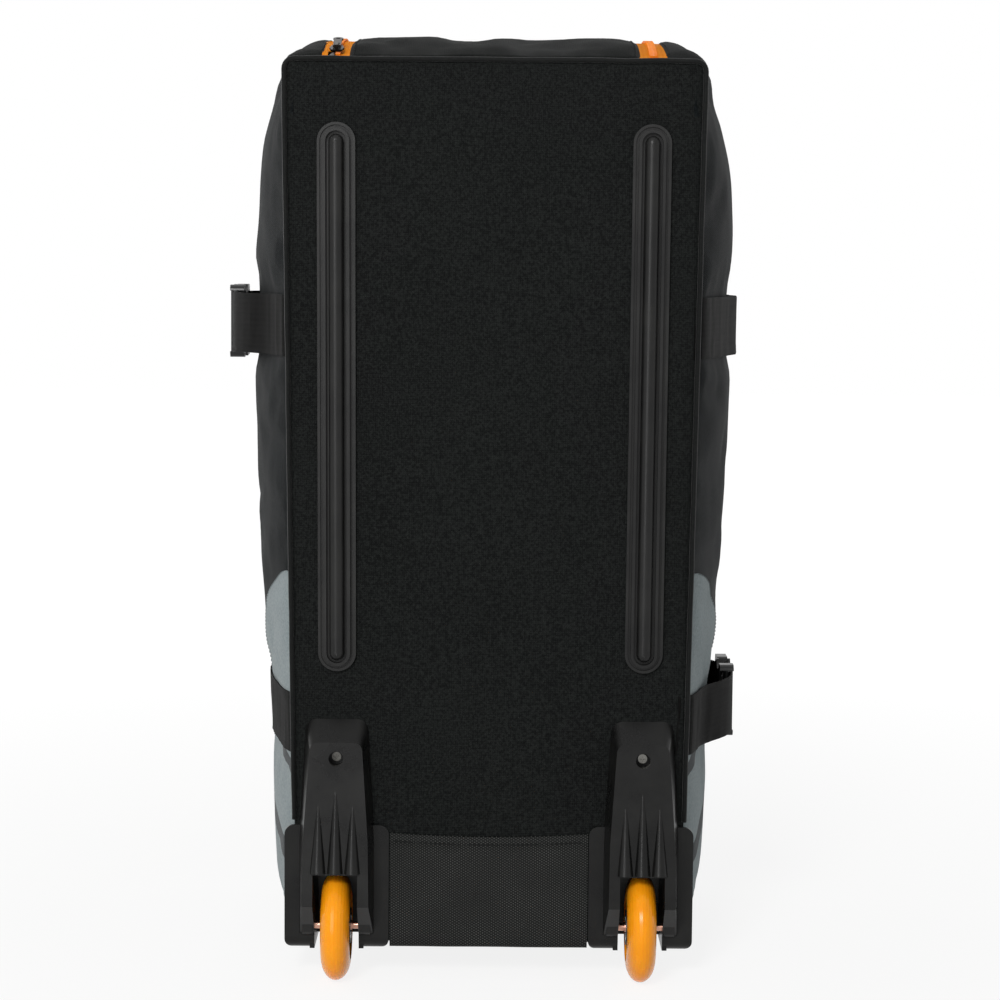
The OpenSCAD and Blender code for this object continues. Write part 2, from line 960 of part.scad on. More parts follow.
// Spoked core that holds the two bearings
module hub(side) {
    boss_r = bearing_od / 2 + 3.5;
    rim_t = 3;
    web = 5;
    color("#d9751a")
        on_axle(side)
            difference() {
                union() {
                    rotate_extrude($fn = 64)
                        polygon([
                            [bearing_id / 2 + 2, -wheel_w / 2], [boss_r, -wheel_w / 2],
                            [boss_r, -web], [core_r - rim_t, -web],
                            [core_r - rim_t, 2 - wheel_w / 2], [core_r - seat_gap, 2 - wheel_w / 2],
                            [core_r - seat_gap, wheel_w / 2 - 2], [core_r - rim_t, wheel_w / 2 - 2],
                            [core_r - rim_t, web], [boss_r, web], [boss_r, wheel_w / 2],
                            [bearing_id / 2 + 2, wheel_w / 2]
                        ]);
                }
                for (s = [LEFT, RIGHT])
                    translate([0, 0, s * (wheel_w / 2 - bearing_w / 2 + 0.5)])
                        cylinder(h = bearing_w + 1, d = bearing_od + 2 * seat_gap, center = true, $fn = 64);
                for (a = [30:60:359])
                    rotate([0, 0, a])
                        translate([(boss_r + core_r - rim_t) / 2, 0, 0])
                            cylinder(h = wheel_w, r = 3.6, center = true, $fn = 24);
            }
}

module bearings(side) {
    color("#c5c8cb")
        on_axle(side)
            for (s = [LEFT, RIGHT])
                translate([0, 0, s * (wheel_w - bearing_w) / 2])
                    rotate_extrude($fn = 64)
                        translate([bearing_id / 2 + run_gap, -bearing_w / 2])
                            difference() {
                                square([(bearing_od - bearing_id) / 2 - run_gap, bearing_w]);
                                for (z = [-0.1, bearing_w - 0.7])
                                    translate([2.4, z])
                                        square([2.2, 0.8]);
                            }
}

// Bush between axle bolt and bearings
module axle_sleeve(side) {
    color("#c08a62")
        on_axle(side)
            difference() {
                cylinder(h = wheel_w + 2, d = bearing_id, center = true);
                cylinder(h = wheel_w + 4, d = axle_d + 2 * run_gap, center = true);
            }
}

module axle_bolt(side) {
    color("#c08a62")
        on_axle(side) {
            translate([0, 0, -drum_w / 2 - 2])
                cylinder(h = drum_w / 2 + 2 + bolt_reach, d = axle_d);
            translate([0, 0, -drum_w / 2 - 2])
                cylinder(h = 2, d = axle_d + 4);
        }
}

module axle_nut(side) {
    color("#b9bcbf")
        on_axle(side)
            difference() {
                translate([0, 0, drum_w / 2])
                    cylinder(h = nut_t, d = axle_d + 4.6, $fn = 6);
                cylinder(h = drum_w, d = axle_d + 2 * run_gap);
            }
}

// ---------------------------------------------------------------- feet

foot_y = low_bend_y - 6;
foot_plate_r = 24;

module front_foot(side) {
    color("#2a2c2e")
        translate([side * foot_x, foot_y, 0])
            difference() {
                rotate_extrude()
                    polygon([
                        [0, 0], [foot_r - 2, 0], [foot_r - 0.6, 0.6], [foot_r, 2],
                        [foot_r + 4.5, base_z - 4], [foot_plate_r, base_z - 3],
                        [foot_plate_r, base_z - 0.1], [0, base_z - 0.1]
                    ]);
                translate([0, 0, -1])
                    cylinder(h = 13, r = 6.5);
                cylinder(h = base_z + 1, d = screw_d + 0.6);
            }
}

module foot_screw_path(side) {
    translate([side * foot_x, foot_y, 0])
        cylinder(h = base_z + 30, d = screw_d + 1, $fn = 24);
}

// Screw up through each foot, with its nut on the base board
module foot_screws() {
    top = base_z + wall_t + seam_gap + board_t;
    color("#c8cacc")
        for (side = [LEFT, RIGHT])
            translate([side * foot_x, foot_y, 0]) {
                translate([0, 0, 8.9])
                    cylinder(h = 3, d = 9.4);
                translate([0, 0, 11])
                    cylinder(h = top - 6, d = screw_d);
                translate([0, 0, top])
                    cylinder(h = 4, d = 10, $fn = 6);
            }
}

// ---------------------------------------------------------------- straps

// Smooth step from 0 to 1
function ease(t) = let (u = min(1, max(0, t))) u * u * (3 - 2 * u);

// How far tensioned webbing stands off the side between its back edge and its widest point
function lift(y) = 2 * sin(180 * min(1, y / swell_y));

// Sewn end of a strap: from the back edge along the side to the female half
module strap_short(z) {
    bar_y = buckle_y + 2.6;
    steps = 14;
    inner = [for (i = [0:steps])
        let (y = mix(1, bar_y - 4, i / steps), side_x = half_at(y, z + web_w / 2), t = i / steps)
        [mix(side_x + strap_gap + lift(y), buckle_x(z) - web_t / 2, ease((t - 0.3) / 0.7)), y]];
    outer = [for (i = [steps:-1:0]) [inner[i][0] + web_t, inner[i][1]]];
    translate([0, 0, z - web_w / 2]) {
        linear_extrude(web_w)
            polygon(concat(inner, outer));
        translate([buckle_x(z), bar_y, 0])
            web_loop();
    }
}

// Webbing turned round a bar
module web_loop() {
    linear_extrude(web_w)
        difference() {
            circle(r = bar_r + 0.3 + web_t, $fn = 32);
            circle(r = bar_r + 0.3, $fn = 32);
        }
}

function strap_ys(from_y) = [for (i = [0:slices]) if (station(i) > from_y) station(i)];

// Long end: from the other back edge round the lid to the male half
module strap_long(z) {
    bar_y = buckle_y + female_l + 1 + male_l / 2;
    top = z + web_w / 2;
    far_ys = strap_ys(3);
    near_ys = strap_ys(bar_y + 14);
    bar_x = buckle_x(z) - bar_r - 0.3 - web_t - strap_gap;
    under_x = buckle_x(z) - buckle_t / 2 - web_t - strap_gap;
    path = concat(
        [[-half_at(2, top), 2]],
        [for (y = far_ys) [-half_at(y, top) - lift(y), y]],
        [for (i = [len(near_ys) - 1:-1:0])
            let (y = near_ys[i])
            [mix(half_at(y, top), under_x, ease((bend_y + 50 - y) / 50)), y]],
        [[under_x, bar_y + 14], [under_x, bar_y + 9], [bar_x, bar_y]]
    );
    n = len(path) - 1;
    normal = [for (i = [0:n])
        let (d = path[min(n, i + 1)] - path[max(0, i - 1)])
        [-d[1], d[0]] / norm(d)];
    linear_extrude_at(z - web_w / 2)
        polygon(concat(
            [for (i = [0:n]) path[i] + normal[i] * strap_gap],
            [for (i = [n:-1:0]) path[i] + normal[i] * (strap_gap + web_t)]
        ));
    translate([buckle_x(z), bar_y, z - web_w / 2])
        web_loop();
}

module linear_extrude_at(z) {
    translate([0, 0, z])
        linear_extrude(web_w)
            children();
}

// Carries its children to a buckle: u along +Y, v along Z, thickness along X
module on_buckle(z) {
    translate([buckle_x(z), buckle_y, z])
        rotate([90, 0, 90])
            children();
}

module rounded(u0, u1, v, r) {
    translate([u0 + r, -v])
        square([u1 - u0 - 2 * r, 2 * v]);
    translate([u0, r - v])
        square([u1 - u0, 2 * v - 2 * r]);
    for (u = [u0 + r, u1 - r], s = [-1, 1])
        translate([u, s * (v - r)])
            circle(r, $fn = 32);
}

ear_u = 26;

// Socket half: two plates on a rear frame, scooped where the prongs' ears show
module buckle_female(z) {
    half = buckle_w / 2;
    on_buckle(z) {
        difference() {
            translate([0, 0, -buckle_t / 2])
                linear_extrude(buckle_t)
                    difference() {
                        rounded(0, female_l, half, 5);
                        for (s = [-1, 1])
                            translate([ear_u, s * (half + 7)])
                                circle(14);
                    }
            translate([15, -half - 1, plate_t - buckle_t / 2])
                cube([female_l, buckle_w + 2, buckle_t - 2 * plate_t]);
            translate([-1, -web_w / 2 - 1, -buckle_t])
                cube([10, web_w + 2, 2 * buckle_t]);
        }
        translate([2.6, -half + 3, 0])
            rotate([-90, 0, 0])
                cylinder(h = buckle_w - 6, r = bar_r, $fn = 32);
        translate([14, -2.2, -buckle_t / 2])
            cube([5, 4.4, buckle_t]);
    }
}

// Prong half: frame with a webbing bar, a centre guide and two sprung arms with ears
module buckle_male(z) {
    half = buckle_w / 2;
    start = female_l + 1;
    prong_t = buckle_t - 2 * plate_t - 2 * slide_gap;
    on_buckle(z) {
        difference() {
            translate([0, 0, -prong_t / 2 - 1])
                linear_extrude(prong_t + 2)
                    rounded(start, start + male_l, half, 5);
            translate([start + 4, -web_w / 2 - 1, -buckle_t])
                cube([male_l - 8, web_w + 2, 2 * buckle_t]);
        }
        translate([start + male_l / 2, -half + 3, 0])
            rotate([-90, 0, 0])
                cylinder(h = buckle_w - 6, r = bar_r, $fn = 32);
        translate([0, 0, -prong_t / 2])
            linear_extrude(prong_t)
                prongs(start);
    }
}

module prongs(start) {
    translate([start - 24, -3])
        square([26, 6]);
    for (m = [0, 1])
        mirror([0, m]) {
            translate([start - prong_l + 6, 17])
                square([prong_l - 4, 5]);
            intersection() {
                translate([ear_u, 16])
                    circle(13);
                translate([start - prong_l, 17])
                    square([22, 20]);
            }
        }
}

// ---------------------------------------------------------------- haul handle

// Bowed strap on the lid, seen from above, between two radii
module bow(half_angle, r_in, r_out, w) {
    translate([0, body_d + seam_gap + handle_bow - handle_r, handle_z - w / 2])
        linear_extrude(w)
            intersection() {
                difference() {
                    circle(r_out, $fn = 96);
                    circle(r_in, $fn = 96);
                }
                polygon([
                    [0, 0],
                    [-2 * r_out * sin(half_angle), 2 * r_out * cos(half_angle)],
                    [2 * r_out * sin(half_angle), 2 * r_out * cos(half_angle)]
                ]);
            }
}

handle_angle = asin(handle_span / 2 / handle_r);
grip_angle = handle_angle * 0.62;

module handle_webbing() {
    color("#1b1c1e") {
        difference() {
            bow(handle_angle + 2, handle_r, handle_r + handle_t, handle_w);
            translate([-handle_span, 0, 0])
                cube([2 * handle_span, body_d + seam_gap / 3, seam_z]);
        }
        for (side = [LEFT, RIGHT])
            translate([side * (handle_span / 2 + anchor_l / 2 - 2) - anchor_l / 2,
                    body_d + seam_gap / 3, handle_z - handle_w / 2])
                cube([anchor_l, handle_t, handle_w]);
    }
}

// Moulded sleeve round the middle of the handle
module handle_grip() {
    extra = (grip_t - handle_t) / 2;
    color("#2a2c2e")
        difference() {
            bow(grip_angle, handle_r - extra, handle_r + handle_t + extra, handle_w + 4);
            bow(grip_angle + 3, handle_r - 0.05, handle_r + handle_t + 0.05, handle_w + 0.1);
        }
}

// ---------------------------------------------------------------- assembly

// Puts the origin on the floor in the middle of the whole object
module centred() {
    translate([-centre_x, -centre_y, 0])
        children();
}

// Strap pieces are drawn with their buckle on the right
module webbing(side) {
    color("#1b1c1e")
        mirror([side == LEFT ? 1 : 0, 0, 0])
            children();
}

module moulding(side) {
    color("#141516")
        mirror([side == LEFT ? 1 : 0, 0, 0])
            children();
}

centred() back_panel();
centred() back_board();
centred() base_panel();
centred() base_board();
centred() side_panel(LEFT);  // side_panel_left
centred() side_panel(RIGHT);  // side_panel_right
centred() grey_panel(LEFT);  // grey_panel_left
centred() grey_panel(RIGHT);  // grey_panel_right
centred() gusset(LEFT);  // gusset_left
centred() gusset(RIGHT);  // gusset_right
centred() front_lower_panel();
centred() lid_panel();
centred() piping();
centred() reinforcement_panel();
centred() zip_tape_body();
centred() zip_tape_lid();
centred() zip_chain_body();
centred() zip_chain_lid();
centred() zip_slider();
centred() zip_pull();
centred() skid_rail(LEFT);  // skid_rail_left
centred() skid_rail(RIGHT);  // skid_rail_right
centred() rail_screws();
centred() wheel_housing(LEFT);  // wheel_housing_left
centred() wheel_housing(RIGHT);  // wheel_housing_right
centred() housing_screws();
centred() backing_plates();
centred() tyre(LEFT);  // tyre_left
centred() tyre(RIGHT);  // tyre_right
centred() hub(LEFT);  // hub_left
centred() hub(RIGHT);  // hub_right
centred() bearings(LEFT);  // bearings_left
centred() bearings(RIGHT);  // bearings_right
centred() axle_sleeve(LEFT);  // axle_sleeve_left
centred() axle_sleeve(RIGHT);  // axle_sleeve_right
centred() axle_bolt(LEFT);  // axle_bolt_left
centred() axle_bolt(RIGHT);  // axle_bolt_right
centred() axle_nut(LEFT);  // axle_nut_left
centred() axle_nut(RIGHT);  // axle_nut_right
centred() front_foot(LEFT);  // front_foot_left
centred() front_foot(RIGHT);  // front_foot_right
centred() foot_screws();
centred() webbing(LEFT) strap_short(strap_high_z);  // upper_strap_short
centred() webbing(LEFT) strap_long(strap_high_z);  // upper_strap_long
centred() webbing(RIGHT) strap_short(strap_low_z);  // lower_strap_short
centred() webbing(RIGHT) strap_long(strap_low_z);  // lower_strap_long
centred() moulding(LEFT) buckle_female(strap_high_z);  // upper_buckle_female
centred() moulding(LEFT) buckle_male(strap_high_z);  // upper_buckle_male
centred() moulding(RIGHT) buckle_female(strap_low_z);  // lower_buckle_female
centred() moulding(RIGHT) buckle_male(strap_low_z);  // lower_buckle_male
centred() handle_webbing();
centred() handle_grip();
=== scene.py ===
# %% [markdown]
# # A wheeled gear bag, standing with its wheel side to the viewer
#
# The bag is a soft body on a stiff back and base. The moulded parts (skid rails, wheel housings,
# wheels, buckles, feet) come from the CAD frame and only get their finishes here. Everything
# sewn is built here, as fabric panels laid over one inflated form, because cloth is what the
# CAD leaves plain. All sizes below are millimetres of the bag itself, turned to metres at the end.

import math

import bpy
import numpy as np
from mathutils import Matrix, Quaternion, Vector, noise
from mathutils.bvhtree import BVHTree


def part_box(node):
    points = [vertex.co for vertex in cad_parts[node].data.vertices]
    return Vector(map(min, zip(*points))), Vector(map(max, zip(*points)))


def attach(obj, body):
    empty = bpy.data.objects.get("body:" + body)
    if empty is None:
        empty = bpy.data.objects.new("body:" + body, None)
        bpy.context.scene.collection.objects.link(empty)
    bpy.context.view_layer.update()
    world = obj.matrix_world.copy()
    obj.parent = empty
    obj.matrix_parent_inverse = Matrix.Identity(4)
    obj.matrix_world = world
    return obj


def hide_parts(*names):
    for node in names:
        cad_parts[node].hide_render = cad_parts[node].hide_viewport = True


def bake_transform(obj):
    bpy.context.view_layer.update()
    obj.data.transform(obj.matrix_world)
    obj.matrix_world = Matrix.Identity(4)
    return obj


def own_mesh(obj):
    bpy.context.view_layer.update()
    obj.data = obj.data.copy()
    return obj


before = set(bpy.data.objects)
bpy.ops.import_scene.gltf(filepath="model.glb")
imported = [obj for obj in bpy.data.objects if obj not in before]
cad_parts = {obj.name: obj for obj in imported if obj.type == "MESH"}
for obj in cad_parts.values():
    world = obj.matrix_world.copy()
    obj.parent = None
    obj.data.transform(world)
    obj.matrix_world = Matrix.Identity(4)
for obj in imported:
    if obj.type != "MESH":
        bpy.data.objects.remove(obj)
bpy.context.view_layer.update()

# %% [markdown]
# ## The maker's datum
#
# A pattern cutter measures from the middle of the bag, from its back panel and from the floor.
# One function turns such a measure into the frame's metres, so each later cell can think in
# millimetres. The middle lies half way between the wheels, and depth starts at the back panel.

# %% Datum
MID = (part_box("tyre_left")[0].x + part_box("tyre_right")[1].x) / 2
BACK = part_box("back_panel")[0].y


def at(x, y, z):
    """A point in the maker's millimetres as a point of the frame."""
    return Vector((MID + x / 1000, BACK + y / 1000, z / 1000))


def mm(vector):
    """A point of the frame in the maker's millimetres."""
    return np.array([(vector.x - MID) * 1000, (vector.y - BACK) * 1000, vector.z * 1000])


print("middle", round(MID * 1000, 2), "back", round(BACK * 1000, 2))


# %% Small sums used all through
def mix(a, b, t):
    return a + (b - a) * t


def clamp(t):
    """A share kept between 0 and 1."""
    return min(1, max(0, t))


def ease(t):
    """A share from 0 to 1 that starts and ends gently."""
    t = clamp(t)
    return t * t * (3 - 2 * t)


def hump(off, width):
    """1 where off is 0, and next to nothing at twice the width."""
    return math.exp(-((off / width) ** 2))


def sind(degrees):
    return math.sin(math.radians(degrees))


def cosd(degrees):
    return math.cos(math.radians(degrees))


def uneven(x, y, z):
    """Smooth noise between about -1 and 1 at a place."""
    return noise.noise(Vector((x, y, z)))


def unit(vectors):
    """Vectors along the last axis, made 1 long."""
    return vectors / (np.linalg.norm(vectors, axis=-1, keepdims=True) + 1e-9)


def at_each(points, height):
    """height(x, y, z) worked out at every point of a grid."""
    return np.array([[height(*p) for p in row] for row in points])


print("half way gently:", ease(0.5), "a quarter:", ease(0.25))

# %% [markdown]
# ## Camera, floor and light
#
# A bag on a white sweep. A key lamp and a narrow strip stand in front, off to the left. They light
# the back panel and draw the highlights on the rails and housings. At each side a softbox and
# a rim lamp pick out the side cloths, stronger on the left, and a large weak lamp fills from above.
# The floor keeps the bag's shadow. Looked at or mirrored, the air is plain white, and so is the
# floor further out, so that the lamps can stay low and dark colours stay true.

# %% Camera
# metres in the frame: where the camera stands, and what it looks at
EYE, TARGET = (0.00706, -2.3505, 0.6016), (0.00706, -0.1599, 0.3984)
ROLL = math.radians(0.45)  # the camera was tipped by under half a degree
camera = bpy.data.objects.new("camera", bpy.data.cameras.new("camera"))
bpy.context.scene.collection.objects.link(camera)
bpy.context.scene.camera = camera
camera.location = EYE
aim = (Vector(TARGET) - camera.location).to_track_quat("-Z", "Y")
camera.rotation_mode = "QUATERNION"
camera.rotation_quaternion = aim @ Quaternion((0, 0, 1), ROLL)
camera.data.lens = 97.16
camera.data.sensor_width = 36
camera.data.shift_x = 0.0084
camera.data.clip_end = 50
bpy.context.scene.view_settings.view_transform = "Standard"
print("camera", round((Vector(TARGET) - camera.location).length, 3), "metres from the back panel")


# %% Helpers for finishes: a colour, a node, and what is made of nodes
def linear(code):
    """An sRGB hex colour as linear red, green, blue and alpha."""
    parts = [int(code[i : i + 2], 16) / 255 for i in (1, 3, 5)]
    return [c / 12.92 if c <= 0.04045 else ((c + 0.055) / 1.055) ** 2.4 for c in parts] + [1.0]


def add(tree, kind, sockets=None, **settings):
    """Adds one shader node. Its sockets take a constant, or another node's output as a link."""
    node = tree.nodes.new("ShaderNode" + kind)
    for name, value in settings.items():
        setattr(node, name, value)
    for key, value in (sockets or {}).items():
        if isinstance(value, bpy.types.NodeSocket):
            tree.links.new(value, node.inputs[key])
        else:
            node.inputs[key].default_value = value
    return node


def sums(tree, operation, *values):
    """What one Math node makes of some values."""
    return add(tree, "Math", dict(enumerate(values)), operation=operation).outputs[0]


def ranged(tree, value, low, high, start=0.0, end=1.0):
    """A value between low and high, carried over to the range from start to end."""
    sockets = {"Value": value, "From Min": low, "From Max": high, "To Min": start, "To Max": end}
    return add(tree, "MapRange", sockets).outputs[0]


def speckle(tree, where, scale, detail, **more):
    """Noise over the coordinates in where, with about so many swells in a metre."""
    sockets = {"Vector": where, "Scale": scale, "Detail": detail, **more}
    return add(tree, "TexNoise", sockets).outputs["Fac"]


def paint(tree, shader, share, dark, light):
    """Colours a shader between dark and light, by a share from 0 to 1."""
    colour = add(tree, "Mix", {0: share, 6: dark, 7: light}, data_type="RGBA")
    tree.links.new(colour.outputs[2], shader.inputs["Base Color"])


def emboss(tree, shader, height, strength, metres):
    """Lets a height from 0 to 1 stand out by so many metres."""
    bump = add(tree, "Bump", {"Height": height, "Strength": strength, "Distance": metres})
    tree.links.new(bump.outputs[0], shader.inputs["Normal"])


def bare(name):
    """A material and its empty node tree."""
    made = bpy.data.materials.new(name)
    made.use_nodes = True
    made.node_tree.nodes.clear()
    return made, made.node_tree


print("mid grey as linear light:", round(linear("#808080")[0], 3))

# %% Sweep and lamps
def lamp(name, place, size, watts):
    """A soft rectangular lamp at a place in metres, turned to the middle of the bag."""
    light = bpy.data.lights.new(name, "AREA")
    light.shape, light.size, light.size_y, light.energy = "RECTANGLE", size[0], size[1], watts
    holder = bpy.data.objects.new(name, light)
    bpy.context.scene.collection.objects.link(holder)
    holder.location = place
    holder.rotation_mode = "QUATERNION"
    aim = Vector((0, 0, 0.4)) - holder.location
    holder.rotation_quaternion = aim.to_track_quat("-Z", "Y")


def looked_at(tree):
    """1 for a ray that a camera, a mirror or a clear body sends out, and 0 for lighting."""
    path = add(tree, "LightPath").outputs
    seen = sums(tree, "MAXIMUM", path["Is Camera Ray"], path["Is Glossy Ray"])
    return sums(tree, "MAXIMUM", seen, path["Is Transmission Ray"])


def sweep_finish(name, white, share):
    """A pale matt surface, shown as white by that share near the bag and wholly further out."""
    made, tree = bare(name)
    place = add(tree, "TexCoord").outputs["Object"]
    away = add(tree, "VectorMath", {0: place}, operation="LENGTH").outputs["Value"]
    # the change runs from 0.4 to 1.6 metres off the middle of the floor
    seen = sums(tree, "MULTIPLY", looked_at(tree), ranged(tree, away, 0.4, 1.6, share))
    matt = add(tree, "BsdfDiffuse", {"Color": linear(white)})
    glow = add(tree, "Emission", {"Color": linear("#ffffff"), "Strength": 1.02})
    mixed = add(tree, "MixShader", {0: seen, 1: matt.outputs[0], 2: glow.outputs[0]})
    add(tree, "OutputMaterial", {"Surface": mixed.outputs[0]})
    return made


floor_mesh = bpy.data.meshes.new("floor")
floor_mesh.from_pydata([(-9, -9, 0), (9, -9, 0), (9, 9, 0), (-9, 9, 0)], [], [(0, 1, 2, 3)])
floor = bpy.data.objects.new("floor", floor_mesh)
bpy.context.scene.collection.objects.link(floor)
floor_mesh.materials.append(sweep_finish("pale_floor", "#f4f4f2", 0.84))

world = bpy.data.worlds.new("studio")
bpy.context.scene.world = world
world.use_nodes = True
air = world.node_tree
air.nodes.clear()
ambient = add(air, "Background", {"Color": linear("#f2f4f6"), "Strength": 0.24})
paper = add(air, "Background", {"Color": linear("#ffffff"), "Strength": 1.0})
shown = add(air, "MixShader", {0: looked_at(air), 1: ambient.outputs[0], 2: paper.outputs[0]})
add(air, "OutputWorld", {"Surface": shown.outputs[0]})

lamp("left_softbox", (-2.2, 0.9, 1.1), (0.6, 2.2), 8)
lamp("right_softbox", (2.2, 0.8, 1.1), (0.6, 2.2), 5)
lamp("left_rim", (-1.7, 2.3, 1.0), (0.7, 2.0), 7)
lamp("right_rim", (1.7, 2.3, 1.0), (0.7, 2.0), 3)
lamp("front_key", (-0.7, -3.2, 2.1), (0.8, 0.9), 76)
lamp("front_strip", (-1.0, -2.7, 0.5), (0.25, 1.6), 18)
lamp("top_fill", (0, 0.3, 2.9), (2.0, 1.6), 7)
print("sweep and", len(bpy.data.lights), "lamps")

# %% [markdown]
# ## Finishes of the cloths
#
# The body is nylon and polyester cloth, woven and coated on its back: nearly black, with a fine
# grain and very little shine. Threads are about 0.5 mm apart, too fine to show, so the weave is
# drawn at 1.5 mm and kept faint. Each cloth is one call: its darkest and lightest colour, how
# coarse the weave is, and how deep it stands.


# %% Cloth finish
def blank(name, surface):
    """A material with one Principled shader, and its node tree."""
    made, tree = bare(name)
    shader = add(tree, "BsdfPrincipled", surface)
    add(tree, "OutputMaterial", {"Surface": shader.outputs[0]})
    return made, tree, shader


def bands(tree, where, pitch, axis):
    """Bands that repeat every pitch millimetres along an axis of where, from 0 to 1."""
    # the Wave texture turns once every 0.31416 / scale metres
    sockets = {"Vector": where, "Scale": 314.16 / pitch, "Distortion": 0.0}
    return add(tree, "TexWave", sockets, wave_type="BANDS", bands_direction=axis).outputs["Fac"]


def woven(name, dark, light, pitch, depth, rough=0.72, sheen=0.12, gloss=0.07):
    """A plain-woven cloth: crossing threads, a little colour drift, and a fine uneven grain."""
    surface = {"Roughness": rough, "IOR": 1.5, "Specular IOR Level": gloss}
    surface |= {"Sheen Weight": sheen, "Sheen Roughness": 0.4}
    made, tree, shader = blank(name, surface)
    cloth = add(tree, "UVMap", uv_map="cloth").outputs[0]
    place = add(tree, "TexCoord").outputs["Object"]
    warp, weft = bands(tree, cloth, pitch, "X"), bands(tree, cloth, pitch, "Y")
    threads = sums(tree, "MULTIPLY", warp, weft)
    grain = speckle(tree, place, 520.0, 2.0)
    drift = speckle(tree, place, 9.0, 3.0)
    tone = sums(tree, "MULTIPLY_ADD", drift, 0.6, threads)
    tone = sums(tree, "MULTIPLY_ADD", grain, 4.0, tone)
    paint(tree, shader, ranged(tree, tone, 1.9, 3.4), linear(dark), linear(light))
    emboss(tree, shader, sums(tree, "MULTIPLY_ADD", grain, 0.5, threads), depth, 0.0007)
    return made


MATT = {"rough": 0.6, "sheen": 0.0, "gloss": 0.03}
back_cloth = woven("coated_polyester_back", "#050606", "#1b1d1c", 1.5, 0.35, sheen=0.02)
side_cloth = woven("charcoal_nylon", "#0c0e0f", "#1a1d1e", 1.5, 0.3, **MATT)
end_cloth = woven("black_nylon", "#0c0d0d", "#191b1a", 1.5, 0.3, **MATT)
lining = woven("nylon_lining", "#3a3d3f", "#46494b", 1.2, 0.2)
flange_cloth = woven("piping_binding", "#0e0f0f", "#171817", 1.0, 0.3, rough=0.55)
print("plain cloths:", back_cloth.name, side_cloth.name, end_cloth.name)


# %% [markdown]
# ## Grey nylon with its slanted darker bars
#
# The lower sides are a mid-grey cloth, carrying two plain darker bars that run down towards
# the back. They are screen-printed on the real cloth, so they change the colour and not the
# relief. The bars are set out in the side panel's own depth and height.

# %% Grey nylon
# metres: a bar's middle line is at height = base + slope x depth, and it reaches half each way
SLOPE, BARS, SOFT_EDGE = 0.42, ((0.238, 0.0065), (0.150, 0.011)), 0.0004


def printed_grey(name):
    made = woven(name, "#7a8486", "#90999b", 1.5, 0.3, rough=0.68, sheen=0.1)
    tree = made.node_tree
    shader = next(n for n in tree.nodes if n.type == "BSDF_PRINCIPLED")
    ground = shader.inputs["Base Color"].links[0].from_socket
    split = add(tree, "SeparateXYZ", {0: add(tree, "TexCoord").outputs["Object"]}).outputs
    slanted = sums(tree, "MULTIPLY_ADD", split["Y"], -SLOPE, split["Z"])
    shares = []
    for base, half in BARS:
        off = sums(tree, "ABSOLUTE", sums(tree, "SUBTRACT", slanted, base))
        shares.append(ranged(tree, off, half - SOFT_EDGE, half + SOFT_EDGE, 1.0, 0.0))
    paint(tree, shader, sums(tree, "MAXIMUM", *shares), ground, linear("#34383a"))
    return made


grey_cloth = printed_grey("grey_nylon")
print(grey_cloth.name, "with", len(BARS), "bars")

# %% [markdown]
# ## Woven wear panel and webbing
#
# The patch between the wheels is a coarse ballistic weave of black thread. A bright fleck is
# painted wherever a thread crosses over, about every 2 mm, as painted highlight, and noise makes
# some brighter than others. Two sets of bands crossed on the diagonal give the flecks. Webbing
# is ribbed across its width every 1.8 mm, with a slower beat along it.


# %% Wear weave and webbing
def turned(tree, where, degrees):
    """Coordinates turned in the plane of the cloth."""
    turn = (0, 0, math.radians(degrees))
    return add(tree, "Mapping", {"Vector": where, "Rotation": turn}).outputs[0]


def ballistic(name):
    made, tree, shader = blank(name, {"Roughness": 0.55, "IOR": 1.5, "Specular IOR Level": 0.15})
    cloth = add(tree, "UVMap", uv_map="cloth").outputs[0]
    one, two = (bands(tree, turned(tree, cloth, angle), 1.9, "X") for angle in (32, -32))
    fleck = sums(tree, "MULTIPLY", one, two)
    # painted highlight: the raised thread crossings are painted bright, varied by noise
    painted_fleck_highlight = sums(tree, "MULTIPLY", ranged(tree, fleck, 0.45, 0.95), speckle(tree, cloth, 22.0, 2.0))
    paint(tree, shader, painted_fleck_highlight, linear("#080908"), linear("#686966"))
    emboss(tree, shader, fleck, 0.5, 0.0006)
    return made


def ribbed(name, dark, light, pitch):
    made, tree, shader = blank(name, {"Roughness": 0.65, "IOR": 1.5, "Specular IOR Level": 0.05})
    cloth = add(tree, "UVMap", uv_map="cloth").outputs[0]
    rib, beat = bands(tree, cloth, pitch, "X"), bands(tree, cloth, pitch * 2.5, "Y")
    tone = sums(tree, "MULTIPLY", rib, speckle(tree, cloth, 60.0, 2.0))
    tone = sums(tree, "MULTIPLY_ADD", beat, 0.25, tone)
    paint(tree, shader, tone, linear(dark), linear(light))
    emboss(tree, shader, tone, 0.7, 0.0006)
    return made


wear_cloth = ballistic("ballistic_weave")
webbing = ribbed("nylon_webbing", "#070707", "#151514", 1.8)
tape_cloth = ribbed("orange_zip_tape", "#ee8412", "#ffa42c", 1.4)
thread = ribbed("black_thread", "#1c1d1d", "#3b3c3c", 0.8)
grey_thread = ribbed("grey_thread", "#5a6163", "#858d8f", 0.8)
print("woven goods:", wear_cloth.name, webbing.name, tape_cloth.name)


# %% [markdown]
# ## Finishes of the hard parts
#
# Rails and housings are moulded polypropylene with a fine etched grain, which gives soft broad
# highlights. The wheels are cast urethane: glossy, and a little light goes into them. Buckles are
# acetal, smoother than the housings. Screws are zinc-plated steel, and the axle sleeves copper-
# coloured. The grain is about 0.3 mm on a real moulding and is drawn at 0.8 mm to show.

